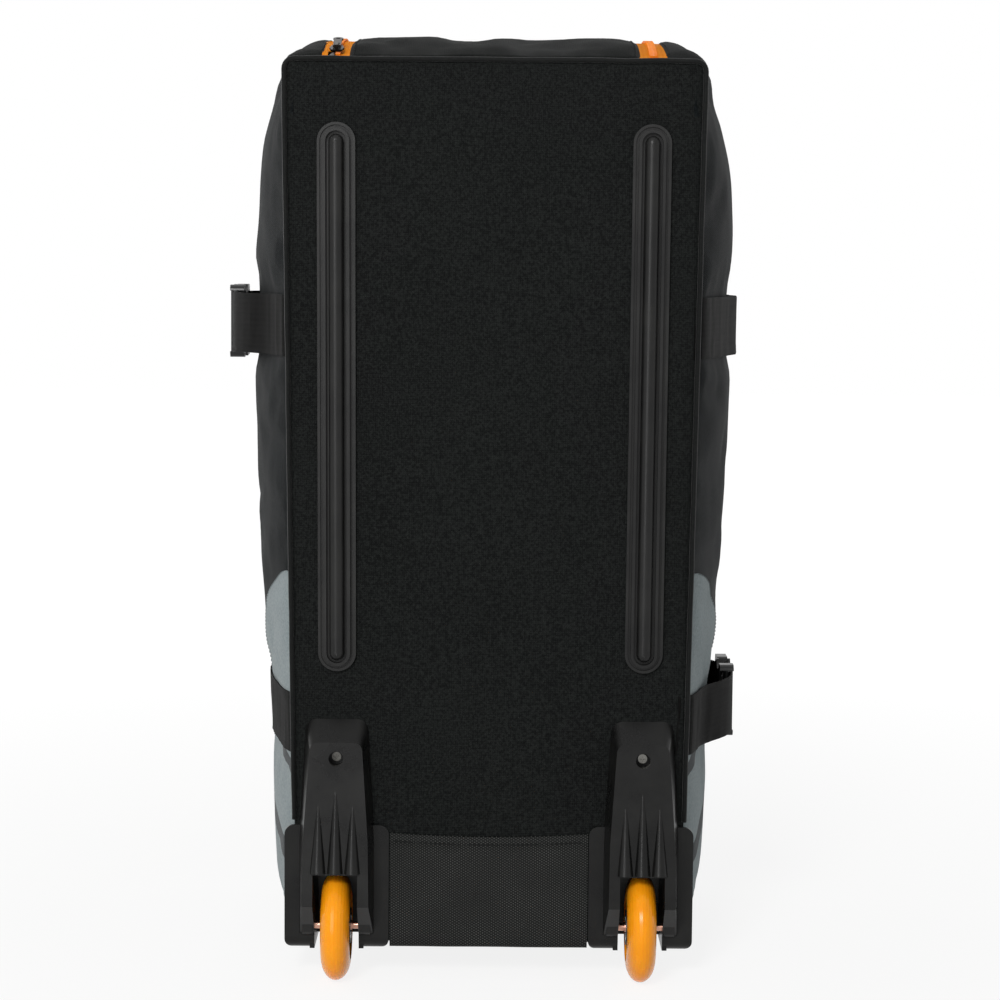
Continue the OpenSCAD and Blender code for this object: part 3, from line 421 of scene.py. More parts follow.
# %% Moulded, cast and metal finishes
def moulded(name, dark, light, rough, grain_mm, depth, **more):
    """A grained surface, scuffed here and there. More are shader sockets, with _ for a space."""
    surface = {"Roughness": rough, **{k.replace("_", " "): v for k, v in more.items()}}
    made, tree, shader = blank(name, surface)
    place = add(tree, "TexCoord").outputs["Object"]
    scuff = speckle(tree, place, 26.0, 5.0, Roughness=0.65)
    paint(tree, shader, ranged(tree, scuff, 0.35, 0.7), linear(dark), linear(light))
    gloss = ranged(tree, scuff, 0.3, 0.75, rough - 0.05, rough + 0.08)
    tree.links.new(gloss, shader.inputs["Roughness"])
    emboss(tree, shader, speckle(tree, place, 1000 / grain_mm, 2.0), depth, 0.0002)
    return made


rail_plastic = moulded(
    "polypropylene_rail", "#101010", "#1c1c1b", 0.36, 0.8, 0.35, IOR=1.49, Specular_IOR_Level=0.25
)
housing_plastic = moulded(
    "polypropylene_housing", "#0e0e0e", "#181817", 0.29, 0.8, 0.4, IOR=1.49, Specular_IOR_Level=0.2
)
acetal = moulded(
    "acetal_buckle", "#101111", "#1a1b1b", 0.3, 0.9, 0.15, IOR=1.48, Specular_IOR_Level=0.35
)
chain_acetal = moulded(
    "orange_zip_teeth", "#e87a08", "#fa9618", 0.4, 1.0, 0.1, IOR=1.48, Specular_IOR_Level=0.25
)
CAST = {"IOR": 1.5, "Specular_IOR_Level": 0.22, "Subsurface_Weight": 0.12, "Subsurface_Scale": 0.003}
urethane = moulded("cast_urethane", "#f8980c", "#ffa318", 0.26, 2.0, 0.03, **CAST)
hub_plastic = moulded("nylon_hub", "#1f2021", "#2c2d2e", 0.4, 1.0, 0.2, IOR=1.53)
rubber = moulded("rubber_foot", "#1b1c1c", "#262727", 0.7, 0.9, 0.4, IOR=1.52)
grip_rubber = moulded("grip_rubber", "#121313", "#1c1d1d", 0.6, 1.0, 0.5, IOR=1.52)
board = moulded("polypropylene_board", "#3a3c3e", "#4a4c4e", 0.5, 1.5, 0.2, IOR=1.49)
METAL = {"Metallic": 1.0}
# painted shade: this zinc is darkened so the screws look shaded, as in the housings' deep recesses
zinc_darkened_as_shade = moulded("zinc_screw_painted_shade", "#4e4d4a", "#8d8c87", 0.3, 0.8, 0.3, **METAL)
zinc = moulded("zinc_plated_steel", "#b9b9b2", "#dcdcd6", 0.24, 1.0, 0.1, **METAL)
steel = moulded("bearing_steel", "#9a9c9f", "#c9cbcd", 0.22, 1.0, 0.08, **METAL)
copper = moulded("copper_coated_steel", "#b98a78", "#d6a892", 0.3, 1.0, 0.1, **METAL)
gunmetal = moulded("gunmetal_zinc_casting", "#221d1a", "#3a322c", 0.34, 1.0, 0.12, **METAL)
print(len(bpy.data.materials), "materials so far")

# %% Dress the CAD nodes
# a finish, the millimetres of rounding on its edges, and the nodes that wear it
HARD = [
    (rail_plastic, 0.5, "skid_rail_left skid_rail_right"),
    (housing_plastic, 0.7, "wheel_housing_left wheel_housing_right"),
    # these screws wear zinc darkened as painted shade
    (zinc_darkened_as_shade, 0, "rail_screws housing_screws"),
    (zinc, 0, "foot_screws backing_plates axle_nut_left axle_nut_right"),
    (urethane, 0, "tyre_left tyre_right"),
    (hub_plastic, 0.5, "hub_left hub_right"),
    (steel, 0, "bearings_left bearings_right"),
    (copper, 0, "axle_sleeve_left axle_sleeve_right axle_bolt_left axle_bolt_right"),
    (rubber, 0.8, "front_foot_left front_foot_right"),
    (acetal, 0.5, "upper_buckle_female upper_buckle_male lower_buckle_female lower_buckle_male"),
    (grip_rubber, 1.2, "handle_grip"),
    (gunmetal, 0, "zip_slider zip_pull"),
    (board, 0, "back_board base_board"),
]
dressed = 0
for finish, rounding, names in HARD:
    for name in names.split():
        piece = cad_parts[name]
        piece.data.materials.clear()
        piece.data.materials.append(finish)
        dressed += 1
        if rounding:
            edge = piece.modifiers.new("moulded_edge", "BEVEL")
            edge.width, edge.segments, edge.limit_method = rounding / 1000, 2, "ANGLE"
            edge.angle_limit = math.radians(38)
            edge.harden_normals = True
print("dressed", dressed, "CAD nodes")

# %% [markdown]
# ## The bag's form
#
# Every cloth panel lies on one swelling shape: narrow at the back panel, widest a hand's depth
# in, with a domed end and soft front edges. It could be sculpted, but the pattern's own
# measures describe it exactly: for each depth, a rounded outline. Straps nip it in, and between
# them the stuffed bag swells.

# %% Outline of the bag at a depth
WALL = 4.6  # the foam-backed cloth
BODY_D = 330.0  # depth of the cloth body
BACK_Z, BACK_W = (53, 755), (320, 341)  # heights of the back panel's two ends, and widths there
WIDE_Z, WIDE_W = (53, 500), (366, 410)  # heights between which the sides widen, and widths there
BEND_Y = 220  # depth at which the end starts to bend down to the front
ARC_Y, ARC_Z, ARC_R = 130.0, 399.109, 378.89  # the end's arc: its centre and radius
UPPER_Z, LOWER_Z = 539, 213  # heights of the two straps
BEND_Z = 650  # above this the shoulders round off


def bend(u):
    """Height of the front bend's quarter outline, 1 at its start and 0 at its end."""
    return (1 - clamp(u) ** 2.3) ** (1 / 2.3)


def back_half(z):
    """Half width of the back panel at height z."""
    return mix(*BACK_W, (z - BACK_Z[0]) / (BACK_Z[1] - BACK_Z[0])) / 2


def plan_half(y, back, wide):
    """Half width at depth y, from the back's half to the wide one and in again at the front."""
    if y <= 150:
        return back + (wide - back) * sind(90 * max(0, y) / 150)
    return mix(105, wide, bend((y - 215) / 115))


def top_z(y):
    """Height of the end panel at depth y."""
    arc = ARC_Z + math.sqrt(ARC_R**2 - (y - ARC_Y) ** 2)
    return min(arc, 778 - 75 * (1 - bend((y - BEND_Y) / 110)))


def under_z(y):
    """Height of the underside at depth y, which rises to the front edge."""
    return 28 + 60 * (1 - bend((y - 270) / 60))


def outline(y):
    """Right half of the bag's outline at depth y, from the middle of the end down to the base."""
    swell = sind(90 * min(1, y / 100))
    r_top, r_low = 8 + 38 * swell, 8 + 22 * swell
    top, low = top_z(y), under_z(y)
    shoulder = plan_half(y, back_half(BACK_Z[1]), 193)
    points = [(x, top) for x in np.linspace(0, shoulder - r_top, 14, endpoint=False)]
    for a in np.linspace(90, 0, 10, endpoint=False):
        points.append((shoulder - r_top + r_top * cosd(a), top - r_top + r_top * sind(a)))
    for z in np.linspace(top - r_top, low + r_low, 64):
        share = clamp((z - WIDE_Z[0]) / (WIDE_Z[1] - WIDE_Z[0]))
        wide = plan_half(y, back_half(z), mix(*WIDE_W, share) / 2)
        over = (z - BEND_Z) / (top - r_top - BEND_Z) if z > BEND_Z else 0.0
        foot = mix(wide, shoulder, over**1.6)
        points.append((foot, z))
    for a in np.linspace(0, -90, 9)[1:]:
        points.append((foot - r_low + r_low * cosd(a), low + r_low + r_low * sind(a)))
    points += [(x, low) for x in np.linspace(foot - r_low, 0, 14)[1:]]
    return points


print("half an outline:", len(outline(150)), "points, its top at", round(top_z(150), 1), "mm")

# %% Form as a closed mesh, made even by a voxel remesh
def new_mesh(name, points, faces):
    mesh = bpy.data.meshes.new(name)
    mesh.from_pydata([tuple(p) for p in points], [], faces)
    mesh.update()
    piece = bpy.data.objects.new(name, mesh)
    bpy.context.scene.collection.objects.link(piece)
    return piece


STATIONS = 64  # steps in depth, closer together at the back and the front


def loft():
    """Skins the outlines from back to front and closes both ends."""
    stations = [BODY_D * (1 - math.cos(math.pi * i / STATIONS)) / 2 for i in range(STATIONS + 1)]
    rings = []
    for y in stations:
        half = outline(y)
        rings.append([(x, y, z) for x, z in half] + [(-x, y, z) for x, z in half[-2:0:-1]])
    count = len(rings[0])
    faces = []
    for low in range(0, STATIONS * count, count):
        for k in range(count):
            step = (k + 1) % count
            faces.append((low + k, low + count + k, low + count + step, low + step))
    last = STATIONS * count
    faces += [tuple(range(count)), tuple(range(last + count - 1, last - 1, -1))]
    return new_mesh("form", [at(*p) for ring in rings for p in ring], faces)


def apply_all(piece):
    """Turns a piece's modifiers into its mesh."""
    graph = bpy.context.evaluated_depsgraph_get()
    done = bpy.data.meshes.new_from_object(piece.evaluated_get(graph))
    piece.modifiers.clear()
    piece.data = done


form = loft()
even = form.modifiers.new("even", "REMESH")
even.mode, even.voxel_size = "VOXEL", 0.0085
apply_all(form)
print("form:", len(form.data.vertices), "points")


# %% Straps nip the form in, and the load swells it between them
SLACK = 1.0  # millimetres that the cloth starts inside its full shape, because pressure swells it


def stuffed(p):
    """A point of the form moved as a packed bag's cloth would be."""
    x, y, z = mm(p)
    side = min(1, max(0, y) / 70)
    nip = 1.2 * hump(z - UPPER_Z, 34) + 0.6 * hump(z - LOWER_Z, 34)
    full = 2.0 * math.sin(math.pi * clamp((z - 250) / 250)) ** 2
    # the shoulders hang a little, the left one lower down than the right one
    if x > 0:
        sag = 6.5 * hump(z - 722, 36)
    else:
        sag = 3.2 * clamp((z - 590) / 30) + 4.0 * hump(z - 728, 30)
    sag += 11.0 * clamp((z - 762) / 12)
    x *= 1 + side * (full - nip - sag - SLACK) / max(120, abs(x))
    z -= SLACK * side * clamp((z - 690) / 60)
    if y > 240:
        share = min(1, (y - 240) / 60) * max(0, 1 - (abs(x) / 150) ** 2)
        y += share * (7.0 * math.sin(math.pi * clamp((z - 240) / 270)) - nip * 0.6)
    return at(x, y, z)


for vertex in form.data.vertices:
    vertex.co = stuffed(vertex.co)
print("nipped at the two straps")

# %% [markdown]
# ## Inflating the cloth
#
# The panels are cut slightly full and the load presses them out, which is what makes the long
# soft folds of a real bag. Cloth simulation gives that: the stiff back and the base are held,
# the seams are half held, and a little pressure fills the rest. The bag has its full size
# already, so only the folds are kept, up to a cap, and not the growth. The result is applied,
# so that nothing is left to simulate when the scene opens.


# %% Cloth simulation
SEAM_Y = 296  # depth of the seam between side and gusset, down the front
SEAM_DROP = 18  # how far that seam lies below the end panel's height
ZIP_X, ZIP_R, ZIP_Z, TAPE = 128.0, 52.0, 118.0, 10.5  # half width, corner, lowest line, tape
FAR = 99  # further than anything that holds the cloth


def held(p):
    """How firmly a point is held, from 0, free, to 1: boards fully, seams and straps partly."""
    x, y, z = mm(p)
    if y < 12 or z < under_z(min(BODY_D, max(0, y))) + 14:
        return 1.0
    by_zip = y > 6 and (z > 640 or y > 240) and z > 150
    zip_off = abs(abs(x) - ZIP_X) if by_zip else FAR
    top_off = abs(z - (top_z(min(BODY_D, y)) - SEAM_DROP)) if y < SEAM_Y else FAR
    front_off = abs(y - SEAM_Y) if 60 < z < 740 else FAR
    strap_off = min(abs(z - UPPER_Z), abs(z - LOWER_Z)) - 20
    seam_off = min(top_off, front_off)
    firm = max(hump(zip_off, 10), hump(seam_off, 10), hump(max(0, strap_off), 8))
    return 0.85 * firm + 0.06


CLOTH = {
    "quality": 4, "mass": 0.25, "tension_stiffness": 14, "compression_stiffness": 14,
    "bending_stiffness": 0.6, "vertex_group_mass": "held", "pin_stiffness": 0.6,
    "shrink_min": -0.035, "use_pressure": True, "uniform_pressure_force": 1.6,
}
FRAMES = 20


def inflate(piece, cap_mm, gain):
    """Lets the cloth settle, then keeps its folds but not its growth in size."""
    rest = [v.co.copy() for v in piece.data.vertices]
    group = piece.vertex_groups.new(name="held")
    for i, co in enumerate(rest):
        group.add([i], held(co), "REPLACE")
    cloth = piece.modifiers.new("cloth", "CLOTH")
    for name, value in CLOTH.items():
        setattr(cloth.settings, name, value)
    cloth.settings.effector_weights.gravity = 0
    cloth.collision_settings.use_collision = False
    cloth.point_cache.frame_start, cloth.point_cache.frame_end = 1, FRAMES
    for number in range(1, FRAMES + 1):
        bpy.context.scene.frame_set(number)
    apply_all(piece)
    bpy.context.scene.frame_set(1)
    start = np.array(rest)
    move = np.array([v.co for v in piece.data.vertices]) - start
    square = np.array([v.normal for v in piece.data.vertices])
    swell = (move * square).sum(axis=1)
    pairs = np.array([e.vertices[:] for e in piece.data.edges])
    pairs = np.concatenate([pairs, pairs[:, ::-1]])
    count = np.bincount(pairs[:, 0], minlength=len(start))
    even = swell.copy()
    for _ in range(25):  # what is left after so much evening out is growth
        even = np.bincount(pairs[:, 0], even[pairs[:, 1]], len(start)) / count
    folds = np.clip((swell - even) * gain, -cap_mm / 1000, cap_mm / 1000)
    for vertex, co in zip(piece.data.vertices, start + square * folds[:, None]):
        vertex.co = co
    told = swell.max(), swell.mean(), folds.max(), folds.min(), folds.std()
    return [round(float(v) * 1000, 2) for v in told]


print("cloth swell at most, on average; folds out, in, spread, mm:", inflate(form, 2.0, 0.9))
smooth = form.modifiers.new("smooth", "SUBSURF")
smooth.levels = smooth.render_levels = 1
apply_all(form)
points = [Vector(mm(v.co)) for v in form.data.vertices]
skin = BVHTree.FromPolygons(points, [tuple(p.vertices) for p in form.data.polygons])
bpy.data.objects.remove(form)
print("skin ready")


# %% [markdown]
# ## Laying a panel on the form
#
# A panel is a grid of points found by looking out from inside the bag, so that its edges
# fall exactly on the seams. Near a seam the cloth turns under, puckers where the thread
# draws it up, and further out it carries long soft wrinkles. The sheet is then given its
# foam-backed thickness, with the lining inside.

# %% Rays, spacing and relief
ZIP_ARC = 377.9  # millimetres from the end's arc centre to the zip's middle plane
HEART = np.array([0, 160, 400])  # a point deep inside the bag


def held_up(point):
    """Keeps the sagging form on the end's arc beside the zip, where the slider's channel runs."""
    x, y, z = point
    if z < 700:
        return point
    spoke = np.array([0.0, y - ARC_Y, z - ARC_Z])
    away = abs(abs(x) - ZIP_X)
    angle = math.degrees(math.atan2(spoke[1], spoke[2]))
    share = ease(clamp((45 - away) / 33) * clamp((24 - angle) / 11))
    reach = np.linalg.norm(spoke)
    return point + spoke / reach * share * max(0.0, ZIP_ARC - reach)


def cast(origin, direction):
    """Where a look from inside the bag meets its skin, in millimetres."""
    hit = skin.ray_cast(Vector(origin), Vector(direction).normalized())[0]
    if hit is None:
        raise ValueError(f"nothing met from {origin} towards {direction}")
    return held_up(np.array(hit))


def stops(length, step=7.0, fine=(0.0, 1.0, 2.2, 4.0, 6.5)):
    """Shares from 0 to 1 along a panel of that many millimetres, closer at its two edges."""
    count = max(3, round((length - 2 * fine[-1]) / step) + 1)
    inner = np.linspace(fine[-1], length - fine[-1], count)
    return np.concatenate([fine[:-1], inner, length - np.array(fine[:-1])[::-1]]) / length


def normals(points, out):
    """Unit directions square to a grid of points, on the side that out points to."""
    across = unit(np.cross(np.gradient(points, axis=0), np.gradient(points, axis=1)))
    return across if (across * np.array(out)).sum() > 0 else -across


def measures(points):
    """Distances along both directions of a grid, in millimetres, for the weave to follow."""
    du = np.linalg.norm(np.diff(points, axis=0), axis=2)
    dv = np.linalg.norm(np.diff(points, axis=1), axis=2)
    u = np.vstack([np.zeros((1, points.shape[1])), np.cumsum(du, axis=0)])
    v = np.hstack([np.zeros((points.shape[0], 1)), np.cumsum(dv, axis=1)])
    return u, v


def relief(points, u, v, sewn, folds, seed):
    """How far each point stands off the form: turned-under seams, puckers and long wrinkles."""
    edges = {"top": u, "end": u[-1] - u, "left": v, "right": v[:, -1:] - v}
    near = np.minimum.reduce([edges[e] for e in sewn] + [np.full(u.shape, 999.0)])
    wave = at_each(points, lambda x, y, z: uneven(x / 60, y / 60, z / 110 + seed))
    fine = at_each(points, lambda x, y, z: uneven(x / 17, y / 17 + seed, z / 19))
    pucker = 0.9 * np.exp(-near / 16) * fine * (1 - np.exp(-near / 3))
    turned_under = 1.7 * np.exp(-((near / 2.6) ** 2))
    return folds * wave * (1 - np.exp(-near / 22)) + pucker - turned_under


print("end panel half way back:", round(float(cast((0, 150, 500), (0, 0, 1))[2]), 1), "mm high")

# %% A sheet with two faces
def shell(name, outer, inner, u, v, faces_kept, finishes):
    """A closed sheet between two grids; its rim runs along every edge of what is kept."""
    rows, cols = outer.shape[:2]
    total = rows * cols
    corner = outer[0, 0]
    flip = np.cross(outer[1, 0] - corner, outer[0, 1] - corner) @ (corner - inner[0, 0]) < 0
    quads, edges = [], {}
    for i in range(rows - 1):
        for j in range(cols - 1):
            if faces_kept is not None and not faces_kept[i, j]:
                continue
            quad = [i * cols + j, (i + 1) * cols + j, (i + 1) * cols + j + 1, i * cols + j + 1]
            quad = quad[::-1] if flip else quad
            quads.append(quad)
            for a, b in zip(quad, quad[1:] + quad[:1]):
                edges[(a, b)] = True
    rims = [(b, a, a + total, b + total) for a, b in edges if (b, a) not in edges]
    faces = quads + [[k + total for k in quad[::-1]] for quad in quads] + rims
    used = sorted({k for face in faces for k in face})
    place = {k: n for n, k in enumerate(used)}
    both = np.concatenate([outer.reshape(-1, 3), inner.reshape(-1, 3)])
    faces = [[place[k] for k in face] for face in faces]
    piece = new_mesh(name, [at(*both[k]) for k in used], faces)
    mesh = piece.data
    flat = np.tile(np.stack([u.ravel(), v.ravel()], axis=1), (2, 1))[used] / 1000
    layer = mesh.uv_layers.new(name="cloth")
    index = np.zeros(len(mesh.loops), int)
    mesh.loops.foreach_get("vertex_index", index)
    layer.data.foreach_set("uv", flat[index].ravel())
    for finish in finishes:
        mesh.materials.append(finish)
    inside = [len(finishes) - 1] * len(quads)
    mesh.polygons.foreach_set("material_index", [0] * len(quads) + inside + [0] * len(rims))
    mesh.polygons.foreach_set("use_smooth", [True] * len(faces))
    mesh.set_sharp_from_angle(angle=math.radians(48))
    return piece


print("a sheet of cloth is", WALL, "mm thick")

# %% A panel of the bag
laid = {}  # each panel's outer grid and directions, for the stitches


def hand_over(piece, body, slot, *nodes):
    """Hides the CAD nodes that a piece stands for and hangs the piece on the body it moves with; slot is not
    used.
    """
    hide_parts(*nodes)
    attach(piece, body)


def panel(name, points, sewn, finish, node, slot, body="bag_body", folds=1.2, seed=0.0, **more):
    """Gives a grid on the form its relief and thickness and hands it to its body.

    More can say which cells are kept, which way is out, and extra relief in millimetres."""
    facing = np.array(more["out"], float) if "out" in more else points - HEART
    square = normals(points, facing)
    # at a sharp corner a direction can come out turned about
    long = np.linalg.norm(np.broadcast_to(facing, square.shape), axis=2)
    turned_in = (square * facing).sum(axis=2) < -0.25 * long
    square = np.where(turned_in[..., None], -square, square)
    u, v = measures(points)
    high = relief(points, u, v, sewn, folds, seed) + more.get("extra", 0.0)
    outer = points + square * high[..., None]
    laid[name] = (outer, square)
    piece = shell(name, outer, outer - square * WALL, u, v, more.get("kept"), [finish, lining])
    hand_over(piece, body, slot, node)
    print(name, points.shape[:2], "grid")


# %% [markdown]
# ## Back panel
#
# A flat coated cloth over a stiff board, cut away round the wheel wells. The seam to
# the side draws it up, most of all in the narrow strip beside each rail, so puckers run in from
# both edges. It needs no form under it: a grid in its own plane is enough.

# %% Back panel
WELL = (102.6, 148.2)  # from inner to outer edge of a wheel well
WELL_Z, WELL_Y = 104.0, 57.5  # how high it reaches up the back, and how deep under the base
BACK_TOP = 754.5  # upper seam of the back panel


def lines(low, high, step, fixed):
    """Even grid lines from low to high that also pass through the fixed places."""
    marks = sorted({low, high, *fixed})
    runs = [np.linspace(a, b, max(1, round((b - a) / step)) + 1)[:-1] for a, b in zip(marks, marks[1:])]
    return np.concatenate(runs + [[high]])


def wells(grid, axis, limit):
    """The cells of a grid that lie over the wheel wells, up to limit along one axis."""
    middle = abs((grid[:-1, :-1] + grid[1:, 1:]) / 2)
    x = middle[..., 0]
    return (WELL[0] < x) & (x < WELL[1]) & (middle[..., axis] < limit)


def back_panel():
    xs = lines(-WELL[1], WELL[1], 6.5, (-WELL[0], WELL[0]))
    zs = np.concatenate([lines(34, 747, 6.5, (WELL_Z,)), [749.2, 751.2, 753.0, 754.2]])
    shares = np.array([0.25, 0.5, 0.7, 0.85, 0.94, 1.0])
    grid = np.zeros((len(zs), len(xs) + 12, 3))
    extra = np.zeros(grid.shape[:2])
    for i, z in enumerate(zs):
        half = back_half(z) - 0.8
        if z > 746.5:
            half -= 8 - math.sqrt(max(0, 64 - (z - 746.5) ** 2))
        right = WELL[1] + (half - WELL[1]) * shares
        row = np.concatenate([-right[::-1], xs, right])
        for j, x in enumerate(row):
            near = min(half - abs(x), BACK_TOP - z)
            soft = 1 - math.exp(-near / 14)
            pucker = uneven(x / 22, 4.7, (z + 0.5 * abs(x)) / 13)
            drawn = math.exp(-max(0, half - abs(x)) / 13) if z > 140 else 0
            cloud = uneven(x / 70, 2.2, z / 90)
            grid[i, j] = (x, 0, z)
            extra[i, j] = 0.9 * soft * (0.5 + cloud) + 3.0 * drawn * soft * pucker
    return grid, extra


grid, swell = back_panel()
sewn = ["end", "left", "right"]
cells = ~wells(grid, 2, WELL_Z)
panel(
    "back_cloth", grid, sewn, back_cloth, "back_panel", "charcoal_nylon",
    folds=0.0, kept=cells, out=(0, -1, 0), extra=swell,
)

# %% [markdown]
# ## Side panels
#
# Each side is one large panel from the back seam to the front seam, with a rounded upper front
# corner. The grey panel fills the lower side and has a rounded tab that laps over the
# charcoal cloth beside the back, so the charcoal stops a little way under it.

# %% Side outline
GREY_TOP = 187.0  # top edge of the grey panel
TAB_R, TAB_Z = 118.0, 220.0  # radius of its tab, and the height of that arc's centre
EDGE = 1.5  # depth at which the side panels start, beside the back


def side_top(y):
    """Height of the side seam at depth y, over the end and down its rounded front corner."""
    high = top_z(y) - SEAM_DROP
    if y <= BEND_Y:
        return high
    share = min(1, (y - BEND_Y) / (SEAM_Y - BEND_Y))
    return BEND_Z + (high - BEND_Z) * (1 - share**3) ** (1 / 3)


def side_low(y):
    """Height of the base seam at depth y."""
    return under_z(y) + 17


def tab_reach(z):
    """Depth to which the grey tab reaches at height z."""
    return TAB_R if z <= TAB_Z else math.sqrt(max(36.0, TAB_R**2 - (z - TAB_Z) ** 2))


def beside(sign, y, z):
    """Point of the bag's side at a depth and height."""
    return cast((0, y, z), (sign, 0, 0))


print("side seam's highest point", round(side_top(ARC_Y), 1), "mm")


# %% Side and grey panels
def side_grid(sign):
    ys = mix(EDGE, SEAM_Y, stops(SEAM_Y - EDGE))
    shares = stops(550)
    return np.array([[beside(sign, y, mix(side_top(y), GREY_TOP, s)) for y in ys] for s in shares])


def grey_grid(sign):
    inner = stops(TAB_R - EDGE)
    outer = mix(TAB_R, SEAM_Y, stops(SEAM_Y - TAB_R))[1:]
    zs_tab = mix(TAB_Z + TAB_R - 0.5, GREY_TOP, stops(151, 6))[:-1]
    band = stops(142)
    rows = [(z, None) for z in zs_tab] + [(None, s) for s in band]
    grid, kept = [], np.ones((len(rows) - 1, len(inner) + len(outer) - 1), bool)
    for n, (z, share) in enumerate(rows):
        row = [mix(EDGE, tab_reach(z or GREY_TOP), k) for k in inner] + list(outer)
        grid.append([beside(sign, y, z or mix(GREY_TOP, side_low(y), share)) for y in row])
        if z:
            kept[n, len(inner) - 1 :] = False
    return np.array(grid), kept


for word, sign in (("left", -1), ("right", 1)):
    grid = side_grid(sign)
    middle = (grid[:-1, :-1] + grid[1:, 1:]) / 2
    reach = np.vectorize(tab_reach)(middle[..., 2] + 5)
    under_tab = (middle[..., 2] < TAB_Z + TAB_R - 8) & (middle[..., 1] < reach - 7)
    panel(
        f"side_cloth_{word}", grid, ["top", "left", "right"], side_cloth, f"side_panel_{word}",
        "charcoal_nylon", folds=1.2, seed=sign * 3.0, kept=~under_tab,
    )
    grid, kept = grey_grid(sign)
    lap = np.where(grid[..., 2] > GREY_TOP, 0.9, 0.5)
    panel(
        f"grey_cloth_{word}", grid, ["end", "left"], grey_cloth, f"grey_panel_{word}",
        "grey_nylon", folds=1.4, seed=sign * 5.0, kept=kept, extra=lap,
    )


# %% [markdown]
# ## Lid and gussets
#
# The lid runs over the end and down the front as one U-shaped flap inside the zip; a gusset
# follows it outside the zip, down to the base. Both are laid along the same path, so their
# seams run parallel. The end of the bag is only cloth, so it carries the deepest folds.

# %% Path over the end and down the lid side
END_RUN, BEND_RUN = 214.0, 140.0  # how long the path runs over the end and round the bend
DOWN = END_RUN + BEND_RUN  # where it starts down the lid side
LEG = DOWN + BEND_Z - (ZIP_Z + ZIP_R)
QUARTER = math.pi / 2 * ZIP_R
ZIP_LENGTH = 2 * (LEG + QUARTER) + 2 * (ZIP_X - ZIP_R)


def over(x, s):
    """The look that meets the bag s millimetres along: over the end, round the bend, down."""
    if s < END_RUN:
        return (x, 6 + s, 500), (0, 0, 1)
    if s < DOWN:
        a = 90 * (s - END_RUN) / BEND_RUN
        return (x, BEND_Y, BEND_Z), (0, sind(a), cosd(a))
    return (x, 150, BEND_Z + DOWN - s), (0, 1, 0)


def in_front(x, z):
    """Point of the lid side at a place across the bag and a height."""
    return cast((x, 150, z), (0, 1, 0))


def lid_grid():
    end = LEG + ZIP_R - TAPE
    half = ZIP_X - TAPE
    rows = []
    for s in end * stops(end):
        wide = half
        if s > LEG:
            drop = ZIP_Z + ZIP_R - (BEND_Z + DOWN - s)
            wide = ZIP_X - ZIP_R + math.sqrt(max(0, (ZIP_R - TAPE) ** 2 - drop**2))
        rows.append([cast(*over(wide * t, s)) for t in 2 * stops(2 * half) - 1])
    return np.array(rows)


def end_folds(points):
    """Soft humps of the unsupported end cloth, 60 to 100 mm long."""

    def high(x, y, z):
        share = clamp((z - 690) / 50) * min(1, max(0, y - 4) / 25)
        return share * 2.2 * (uneven(x / 42, y / 75, 8.5) + 0.35)

    return at_each(points, high)


grid = lid_grid()
panel(
    "lid_cloth", grid, ["top", "end", "left", "right"], end_cloth, "lid_panel", "charcoal_nylon",
    body="lid", folds=2.4, seed=11.0, extra=end_folds(grid),
)


# %% Hinge cloth
def hinge_cloth():
    """The fold that the lid turns on, from inside the back seam to under the lid's edge."""
    outer, square = laid["lid_cloth"]
    under = (outer - 1.4 * square) * np.array([1.04, 1, 1])  # a little wider, under the tapes
    rows = []
    for edge, inside in zip(under[0], under[2]):
        seam = np.array([edge[0], 1.2, 755.0])
        rise = (seam + edge) / 2 + np.array([0, 0, 0.8])
        rows.append([seam + np.array([0, -0.4, -2.5]), seam, rise, edge, inside])
    grid = np.array(rows)
    up = normals(grid, (0, 0, 1))
    u, v = measures(grid)
    piece = shell("lid_hinge_cloth", grid + up * 0.4, grid - up * 0.4, u, v, None, [end_cloth])
    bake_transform(piece)
    print("hinge cloth", grid.shape[:2], "grid")


hinge_cloth()


# %% The gusset's two edges
TURN = 36.0  # how far below the leg the outer seam reaches the bag's lower corner
CORNER_X, CORNER_Y = 76, 230  # middle of the rounded corner that the seam then turns round
SILL = 46  # lowest line of the gussets and the front panel


def seam_point(sign, s):
    """Point of the outer gusset seam that lies beside distance s of the zip."""
    if s <= END_RUN:
        return beside(sign, 6 + s, side_top(6 + s))
    if s <= DOWN:
        a = 90 * (s - END_RUN) / BEND_RUN
        y = BEND_Y + (SEAM_Y - BEND_Y) * sind(a) ** (2 / 3)
        high = top_z(y) - SEAM_DROP
        return beside(sign, y, BEND_Z + (high - BEND_Z) * cosd(a) ** (2 / 3))
    if s <= LEG:
        return beside(sign, SEAM_Y, BEND_Z + DOWN - s)
    low = side_low(SEAM_Y)
    if s <= LEG + TURN:
        return beside(sign, SEAM_Y, mix(ZIP_Z + ZIP_R, low, (s - LEG) / TURN))
    corner = abs(beside(sign, SEAM_Y, low)[0])
    turn = math.degrees(math.atan2(SEAM_Y - CORNER_Y, corner - CORNER_X))
    share = (s - LEG - TURN) / (QUARTER - TURN)
    a = mix(turn, 90, share)
    return cast((sign * CORNER_X, CORNER_Y, mix(low, SILL, share)), (sign * cosd(a), sind(a), 0))


def zip_point(s, g, sign=None):
    """Point beside the zip, g millimetres outside its line, s along from its hinge end."""
    if sign is None:
        sign = -1 if s <= ZIP_LENGTH / 2 else 1
        s = min(s, ZIP_LENGTH - s)
    if s <= LEG:
        return cast(*over(sign * (ZIP_X + g), s))
    if s <= LEG + QUARTER:
        a = (s - LEG) / ZIP_R
        x = ZIP_X - ZIP_R + (ZIP_R + g) * math.cos(a)
        return in_front(sign * x, ZIP_Z + ZIP_R - (ZIP_R + g) * math.sin(a))
    return in_front(sign * (ZIP_X - ZIP_R - (s - LEG - QUARTER)), ZIP_Z - g)


print("the zip's line is", round(ZIP_LENGTH), "mm long")


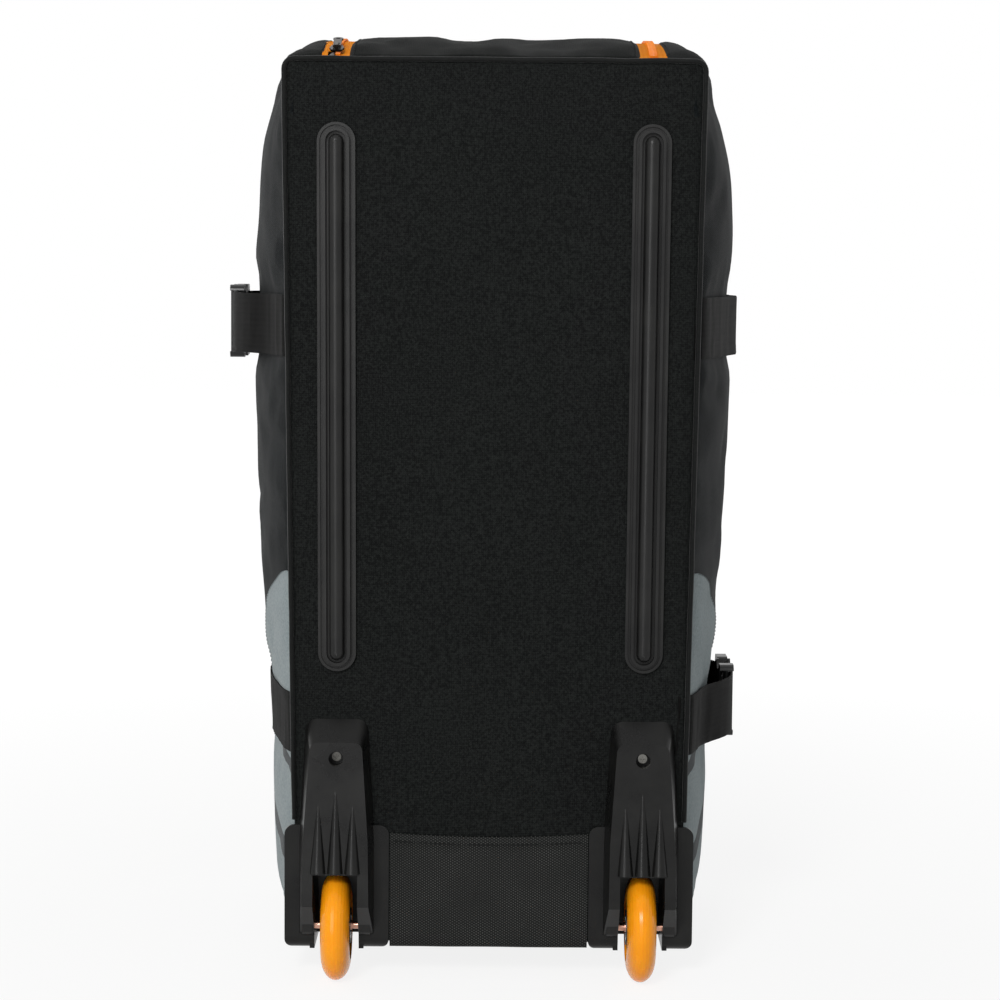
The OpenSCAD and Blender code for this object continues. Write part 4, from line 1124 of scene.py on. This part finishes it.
# %% Gussets and the front below the zip
def gusset_grid(sign):
    rows = []
    length = LEG + QUARTER
    for s in length * stops(length):
        inner, outer = zip_point(s, TAPE, sign), seam_point(sign, s)
        middle = (inner + outer) / 2
        heart = np.array([0, 160, min(640, max(160, middle[2]))])
        centre = middle + 0.45 * (heart - middle)
        one, two = unit(inner - centre), unit(outer - centre)
        rows.append([cast(centre, one * (1 - t) + two * t) for t in stops(80)])
    return np.array(rows)


for word, sign in (("left", -1), ("right", 1)):
    grid = gusset_grid(sign)
    panel(
        f"gusset_cloth_{word}", grid, ["left", "right"], end_cloth, f"gusset_{word}",
        "charcoal_nylon", folds=1.6, seed=20.0 + sign, extra=end_folds(grid) * 0.6,
    )

half = ZIP_X - ZIP_R
across = half * (2 * stops(2 * half) - 1)
grid = np.array([[in_front(x, z) for x in across] for z in mix(ZIP_Z - TAPE, SILL, stops(61))])
panel(
    "front_cloth", grid, ["top", "end"], end_cloth, "front_lower_panel", "charcoal_nylon",
    folds=1.0, seed=31.0,
)


# %% [markdown]
# ## Base panel
#
# The underside is hidden when the bag stands, but a part is looked at from below as well. It is
# a tougher cloth that turns up the sides to the base seam, cut away round the wheel wells.

# %% Base panel
BASE_Z = 45.5  # height of the seam that it turns up to


def base_grid():
    xs = lines(-WELL[1], WELL[1], 8, (-WELL[0], WELL[0]))
    near = lines(5.0, 70, 8, (WELL_Y,))
    wrap = [0.2, 0.4, 0.6, 0.8, 0.92, 1.0]
    grid = []
    for n in range(len(near) + 34):
        row = []
        for x in xs:
            share = (n - len(near) + 1) / 34
            y = near[n] if share <= 0 else mix(70, in_front(x, BASE_Z)[1], share)
            row.append(cast((x, y, 150), (0, 0, -1)))
        sides = {}
        for sign, edge in ((-1, row[0]), (1, row[-1])):
            seam = beside(sign, edge[1], BASE_Z)
            centre = np.array([sign * (abs(seam[0]) - 45), edge[1], 95])
            sides[sign] = [cast(centre, mix(edge - centre, seam - centre, t)) for t in wrap]
        grid.append(sides[-1][::-1] + row + sides[1])
    return np.array(grid)


def soften(points, rows, cols, rounds):
    """Rounds off one corner of a grid, its rim included."""
    deep, wide = points.shape[:2]
    for _ in range(rounds):
        before = points.copy()
        for i in rows:
            for j in cols:
                near = [(i - 1, j), (i + 1, j), (i, j - 1), (i, j + 1)]
                near = [before[a, b] for a, b in near if 0 <= a < deep and 0 <= b < wide]
                points[i, j] = (before[i, j] + np.mean(near, axis=0)) / 2


grid = base_grid()
deep, across = grid.shape[:2]
soften(grid, range(deep - 4, deep), range(7), 6)
soften(grid, range(deep - 4, deep), range(across - 7, across), 6)
cells = ~wells(grid, 1, WELL_Y)
panel(
    "base_cloth", grid, ["end", "left", "right"], end_cloth, "base_panel", "black_nylon",
    folds=0.6, seed=41.0, kept=cells, out=(0, 0, -1),
)


# %% [markdown]
# ## Woven wear panel
#
# A coarse patch between the wheel housings, folded under the base. Its top edge is
# turned over and stitched, and sags a little between the housings.

# %% Wear panel
PATCH, PATCH_TOP = 81.6, 122.6  # half its width, and the height of its upper corners


def sag(x):
    """How far the patch's top edge hangs at x."""
    return 3.0 * (1 - (x / PATCH) ** 2)


def wear_grid():
    down_face = np.concatenate([[0, 1.2, 2.6, 4.5, 7.5, 9.5], np.linspace(14, 92, 14)])
    profile = [(-1.9, down) for down in down_face]
    profile += [(-1.9 + 4 * (1 - cosd(a)), 92 + 4.1 * sind(a)) for a in (20, 40, 60, 80)]
    profile += [(y, 96.4) for y in np.linspace(3, 63, 10)]
    rows = []
    for y, down in profile:
        slack = max(0, 1 - down / 60)
        across = np.linspace(-PATCH, PATCH, 33)
        rows.append([(x, y, PATCH_TOP - down - sag(x) * slack) for x in across])
    return np.array(rows)


grid = wear_grid()
u, v = measures(grid)
hem = np.where(u < 8.5, 0.55, 0.0) + at_each(grid, lambda x, y, z: 0.35 * uneven(x / 30, 1.5, z / 26))
face = normals(grid, (0, -1, -0.4))
outer = grid + face * np.maximum(hem, 0)[..., None]
patch = shell("wear_cloth", outer, grid - face * 1.3, u, v, None, [wear_cloth, wear_cloth])
hand_over(patch, "bag_body", "woven_nylon", "reinforcement_panel")
print("wear panel", grid.shape[:2])


# %% [markdown]
# ## Ribbons: piping, tapes and webbing
#
# A round cord and a flat band are both a section carried along a path. The path gives a frame at
# each point; a tube puts a ring of points there, a band a short row of them.

# %% Tube along a path
def rings_of(first, count, sides):
    """Faces that join count rings of points, numbered from first, and close both ends."""
    faces = []
    for ring in range(first, first + (count - 1) * sides, sides):
        for k in range(sides):
            step = (k + 1) % sides
            faces.append((ring + k, ring + step, ring + sides + step, ring + sides + k))
    last = first + (count - 1) * sides
    faces.append(tuple(range(first + sides - 1, first - 1, -1)))
    faces.append(tuple(range(last, last + sides)))
    return faces


def tube(name, path, radius, finish, sides=10):
    """A round cord along a path of points in millimetres, closed at both ends."""
    path = np.array(path, float)
    lengths = np.concatenate([[0], np.cumsum(np.linalg.norm(np.diff(path, axis=0), axis=1))])
    points = []
    for p, d in zip(path, unit(np.gradient(path, axis=0))):
        across = unit(np.cross(d, (0.0, 1.0, 0.0)))
        up = np.cross(across, d)
        for a in 2 * math.pi * np.arange(sides) / sides:
            points.append(at(*(p + radius * (math.cos(a) * across + math.sin(a) * up))))
    piece = new_mesh(name, points, rings_of(0, len(path), sides))
    layer = piece.data.uv_layers.new(name="cloth")
    for loop in piece.data.loops:
        i, k = divmod(loop.vertex_index, sides)
        layer.data[loop.index].uv = (lengths[i] / 1000, k * 2 * math.pi * radius / sides / 1000)
    piece.data.polygons.foreach_set("use_smooth", [True] * len(piece.data.polygons))
    piece.data.materials.append(finish)
    return piece


def piping_path():
    right = [(back_half(z) - 0.6, z) for z in np.linspace(133, 745, 102)]
    turn_x = right[-1][0] - 8
    for a in (15, 30, 45, 60, 75, 90):
        right.append((turn_x + 8 * cosd(a), 745 + 8.6 * sind(a)))
    top = [(x, 753.6) for x in np.linspace(turn_x, -turn_x, 52)[1:-1]]
    path = []
    for x, z in right + top + [(-x, z) for x, z in right[::-1]]:
        lift = 0.5 * uneven(x / 30, 1, 2) if z > 752 else 0
        path.append((x + 0.35 * uneven(z / 40, x / 40, 3), -0.4 + 0.5 * uneven(x / 25, 7, z / 25), z + lift))
    return path


cord = tube("piping_cord", piping_path(), 2.1, flange_cloth)
hand_over(cord, "bag_body", "piping_cord", "piping")
print("piping laid")


# %% [markdown]
# ## The zip
#
# A coarse moulded-tooth zip on two orange tapes. The tapes lie about a millimetre below the panels. Each
# row of teeth is real geometry at a 3 mm pitch, so the two rows mesh when the lid is shut and
# part when it lifts. The slider's own stretch of the body row is left open.

# %% Tapes
def tape(name, near, far, node, body, slider_side=None):
    """A tape from near to far beside the zip; at slider_side it leaves the slider's place free."""
    rows = [(s, near) for s in np.linspace(24, ZIP_LENGTH, 300)]
    rows = [(s, slider_side or near) for s in (0.5, 7, 13, 20)] + rows
    grid = np.array([[zip_point(s, g) for g in np.linspace(edge, far, 5)] for s, edge in rows])
    square = normals(grid, grid - HEART)
    u, v = measures(grid)
    wide = np.linspace(0, 1, 5)  # flat beside the teeth, where the slider grips
    ripple = 0.5 * wide * at_each(grid / 24, uneven)
    sunk = grid + square * (ripple - 1.0 - 0.3 * wide)[..., None]
    piece = shell(name, sunk, sunk - square * 0.8, u, v, None, [tape_cloth])
    hand_over(piece, body, "orange_tape", node)
    print(name, grid.shape[:2], "grid")


tape("zip_tape_outside", 0.8, TAPE + 2.0, "zip_tape_body", "bag_body", slider_side=7.0)
tape("zip_tape_inside", -0.8, -TAPE - 2.0, "zip_tape_lid", "lid")


# %% Teeth
def teeth(name, sign, node, body, start):
    """One row of moulded teeth: a clamped foot outside and a rounded head over the middle."""
    pitch, points, faces = 3.0, [], []
    section = [(-0.9, -1.0), (0.9, -1.0), (0.9, 0.9), (0.5, 1.4), (-0.5, 1.4), (-0.9, 0.9)]
    reaches = ((-2.2, 0.55), (-1.2, 0.75), (1.6, 0.62))  # of each ring, and how narrow it is
    first = start + (0 if sign > 0 else pitch / 2)
    for s in np.arange(first, ZIP_LENGTH - 1, pitch):
        here, beyond = zip_point(s, sign * 1.6), zip_point(s, sign * 4.0)
        along = unit(zip_point(min(s + 1.5, ZIP_LENGTH - 0.2), sign * 1.6) - here)
        out = unit(beyond - here)
        up = np.cross(along, out)
        up = up if up @ (here - HEART) > 0 else -up
        faces += rings_of(len(points), len(reaches), len(section))
        for reach, narrow in reaches:
            for a, h in section:
                points.append(at(*(here + out * reach + along * a * narrow + up * (h - 0.2))))
    piece = new_mesh(name, points, faces)
    piece.data.materials.append(chain_acetal)
    hand_over(piece, body, "orange_chain", node)
    print(name, len(points) // 18, "teeth")


teeth("zip_teeth_outside", 1, "zip_chain_body", "bag_body", 24.0)
teeth("zip_teeth_inside", -1, "zip_chain_lid", "lid", 1.0)


# %% [markdown]
# ## Compression straps
#
# Each strap is 50 mm webbing. A short end is sewn into the back seam and holds the socket
# half of its buckle; the long end comes from the other back seam, round the lid side, to the prong
# half. The webbing hugs the cloth it squeezes, so it too is laid on the form, two millimetres off.

# %% Bands of webbing
BAR_GAP = 57.4  # millimetres from a socket half's bar to the prong half's bar
WEB_W = 50  # width of the webbing
CLEAR = 1.8  # millimetres from the form to the webbing's inner face, over cloth and zip teeth


def band(name, path, z_mid, width, finish, thick=1.6):
    """Flat webbing: path(k, z) gives its inner face, for place k along it and height z."""
    heights = z_mid + width / 2 * np.array([1, 0.94, 0.6, 0.2, -0.2, -0.6, -0.94, -1])
    grid = np.array(path(heights))
    square = unit(np.cross(unit(np.gradient(grid, axis=0)), (0.0, 0.0, 1.0)))
    u, v = measures(grid)
    along = np.stack([u / 9, v / 40, np.full(u.shape, z_mid)], axis=2)
    crease = 0.35 * at_each(along, uneven)
    thin = np.ones(grid.shape[1])
    thin[[0, -1]] = 0.6
    outer = grid + square * (thick * thin + crease)[..., None]
    return shell(name, outer, grid + square * crease[..., None], u, v, None, [finish])


def buckle(name):
    """Middle of a socket half across the bag, its bar's depth, and its height."""
    low, high = (mm(corner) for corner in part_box(name + "_buckle_female"))
    return (low[0] + high[0]) / 2, low[1] + 2.6, (low[2] + high[2]) / 2


def round_bar(x, y, sign, start, end, radius=2.3, steps=12):
    """Points round a bar, as angles seen from above, 0 straight out from the bag."""
    angles = np.linspace(start, end, steps)
    return [(x + sign * radius * cosd(a), y + radius * sind(a)) for a in angles]


def upright(places, heights):
    """Rows of webbing whose width stands straight up at each (x, y) place."""
    return [[(x, y, z) for z in heights] for x, y in places]


print("prong bars at depth", round(buckle("upper")[1] + BAR_GAP, 1), "mm")


# %% Short straps
def short_strap(name):
    bx, by, z_mid = buckle(name)
    sign = math.copysign(1, bx)

    def path(heights):
        rows = []
        for y in np.linspace(0.6, by - 6, 34):
            t = y / (by - 6)
            row = []
            for z in heights:
                side = abs(beside(sign, y, z)[0]) + CLEAR + 0.8 * math.sin(math.pi * t)
                row.append((sign * mix(side, abs(bx) + 2.7, ease((t - 0.35) / 0.65)), y, z))
            rows.append(row)
        tail = [(sign * (abs(bx) - 2.7 - 3.2 * (by - y) / 26), y) for y in np.linspace(by - 3, by - 26, 6)]
        return rows + upright(round_bar(bx, by, sign, 0, 180)[1:] + tail, heights)

    piece = band(f"{name}_webbing_short", path, z_mid, WEB_W, webbing)
    hand_over(piece, "bag_body", "webbing", f"{name}_strap_short")
    print(name, "short strap laid")


for name in ("upper", "lower"):
    short_strap(name)


# %% Long straps in four runs
def long_strap(name):
    bx, by, z_mid = buckle(name)
    near = math.copysign(1, bx)
    far = -near
    bar_y = by + BAR_GAP
    bulge = 5.0 if name == "upper" else 0.0

    def around(heights, low, high, steps):
        """Rows round the lid side, by their angle from the far side."""
        rows = []
        for a in np.linspace(low, high, steps):
            d = np.array([far * cosd(a), sind(a), 0])
            rows.append([cast((0, 190, z), d) + d * (CLEAR + 0.4) for z in heights])
        return rows

    def side(heights):
        rows = []
        for y in np.linspace(1.5, 190, 46):
            off = CLEAR + 0.4 * min(1, y / 150)
            off += (0.6 + bulge * hump(y - 128, 22)) * math.sin(math.pi * min(1, y / 190))
            rows.append([(beside(far, y, z)[0] + far * off, y, z) for z in heights])
        return rows + around(heights, 1, 41, 22)

    def near_side(heights):
        rows = around(heights, 139, 173, 20)
        start_x, start_y = abs(np.array(rows[-1])[:, 0]), rows[-1][0][1]
        for t in np.linspace(0, 1, 12)[1:]:
            y = mix(start_y, bar_y + 1.5, t)
            xs = near * mix(start_x, abs(bx) - 4.6, ease(t))
            rows.append([(x, y, z) for x, z in zip(xs, heights)])
        return rows

    def front(heights):
        return around(heights, 40.6, 139.4, 64)

    def loop(heights):
        return upright(round_bar(bx, bar_y, near, -170, 170, steps=20), heights)

    side_run = band(f"{name}_webbing_far", side, z_mid, WEB_W, webbing)
    front_run = band(f"{name}_webbing_front", front, z_mid, WEB_W, webbing)
    near_run = band(f"{name}_webbing_near", near_side, z_mid, WEB_W, webbing)
    loop_run = band(f"{name}_webbing_loop", loop, z_mid, WEB_W - 1, webbing)
    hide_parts(f"{name}_strap_long")
    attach(side_run, "bag_body")
    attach(front_run, "bag_body")
    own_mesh(front_run)
    prong, x = f"{name}_buckle_prong", near * 205
    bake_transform(near_run)
    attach(loop_run, prong)
    print(name, "long strap laid")


for name in ("upper", "lower"):
    long_strap(name)


# %% [markdown]
# ## Haul handle
#
# A strap bowed over the lid side with a moulded sleeve round its middle. Its ends lie flat on
# the lid and are sewn down with a crossed box of stitches.

# %% Handle webbing
def handle_path(heights):
    reach, bow = 75.0, 32.0
    radius = (reach**2 + bow**2) / (2 * bow)
    centre = 330.3 + bow - radius
    flat = np.linspace(-101, -76, 8)

    def row(x, y):
        on_lid = [in_front(x, z)[1] + 0.3 for z in heights]
        return [(x, max(y, low), z) for low, z in zip(on_lid, heights)]

    rows = [row(x, 0) for x in flat]
    for a in np.linspace(-44, 44, 52):
        rows.append(row(radius * sind(a), centre + radius * cosd(a)))
    rows += [row(x, 0) for x in -flat[::-1]]
    return rows[::-1]


handle = band("handle_strap", handle_path, 640, 38, webbing, thick=2.0)
hand_over(handle, "lid", "webbing", "handle_webbing")
print("handle strap bowed")


# %% [markdown]
# ## Stitching
#
# Topstitching is what tells the eye that cloth is sewn. Each stitch is a short rounded thread,
# 3 mm long with a 1 mm gap, lying on the panel beside its seam.

# %% Stitches along a line
def stitches(name, runs, finish, body, lift=0.35):
    """Threads along lines of points in millimetres; each point comes with its outward direction."""
    pitch, long, thick = 4.0, 2.9, 0.42
    rings = ((0, 0.3, -0.5), (0.22, 1, 0.6), (0.78, 1, 0.6), (1, 0.3, -0.5))  # share, fat, rise
    round_it = math.pi * np.arange(6) / 3
    points, faces = [], []
    for run in runs:
        place = np.array([p for p, n in run])
        out = np.array([n for p, n in run])
        gone = np.concatenate([[0], np.cumsum(np.linalg.norm(np.diff(place, axis=0), axis=1))])

        def along(s, what):
            return np.array([np.interp(s, gone, what[:, k]) for k in range(3)])

        for s in np.arange(1, gone[-1] - pitch, pitch):
            start, up = along(s, place), along(s, out)
            way = along(s + long, place) - start
            side = unit(np.cross(unit(way), up))
            faces += rings_of(len(points), len(rings), len(round_it))
            for share, fat, rise in rings:
                mid = start + way * share + up * (lift * rise)
                for a in round_it:
                    points.append(at(*(mid + thick * fat * (math.cos(a) * side + math.sin(a) * up))))
    piece = new_mesh(name, points, faces)
    piece.data.polygons.foreach_set("use_smooth", [True] * len(faces))
    piece.data.uv_layers.new(name="cloth")
    piece.data.materials.append(finish)
    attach(piece, body)
    print(name, len(points) // 24, "stitches")


def row_of(name, rows, cols):
    """A line of a laid panel's own grid points, with their directions, for a run of stitches."""
    outer, square = laid[name]
    return list(zip(outer[rows, cols], square[rows, cols]))


def flat_box(x, y, z, wide, tall, out):
    """A crossed box of stitches round a point of an upright face."""
    corners = [(-wide, -tall), (wide, -tall), (wide, tall), (-wide, tall)]
    lines = corners + [corners[0], corners[2]], [corners[1], corners[3]]
    return [[((x + a, y, z + b), out) for a, b in line] for line in lines]


runs = []
for side in (-1, 1):
    face_y = in_front(side * 88, 640)[1] + 2.5
    runs += flat_box(side * 89, face_y, 640, 9, 14, (0, 1, 0))
stitches("handle_stitching", runs, grey_thread, "lid")

top_row = [((x, -3.1, PATCH_TOP - 6.5 - sag(x)), (0, -1, 0)) for x in np.linspace(-79, 79, 40)]
stitches("wear_panel_stitching", [top_row], thread, "bag_body", lift=0.2)

# the third grid line in runs about 4 mm from its seam
most = slice(3, -3)
runs = [row_of("lid_cloth", most, 3), row_of("lid_cloth", most, -4), row_of("lid_cloth", -4, most)]
stitches("lid_stitching", runs, thread, "lid")
runs = [row_of("front_cloth", 3, most)]
for word in ("left", "right"):
    side = f"side_cloth_{word}"
    runs += [row_of(f"gusset_cloth_{word}", most, 3), row_of(side, 3, most), row_of(side, most, -4)]
stitches("seam_stitching", runs, thread, "bag_body")
tab_rows, tab_edge = len(stops(151, 6)) - 1, len(stops(TAB_R - EDGE)) - 1
runs = []
for word in ("left", "right"):
    grey = f"grey_cloth_{word}"
    runs.append(row_of(grey, slice(1, tab_rows + 3), tab_edge - 3))
    runs.append(row_of(grey, tab_rows + 3, slice(tab_edge - 3, -3)))
stitches("tab_stitching", runs, grey_thread, "bag_body")
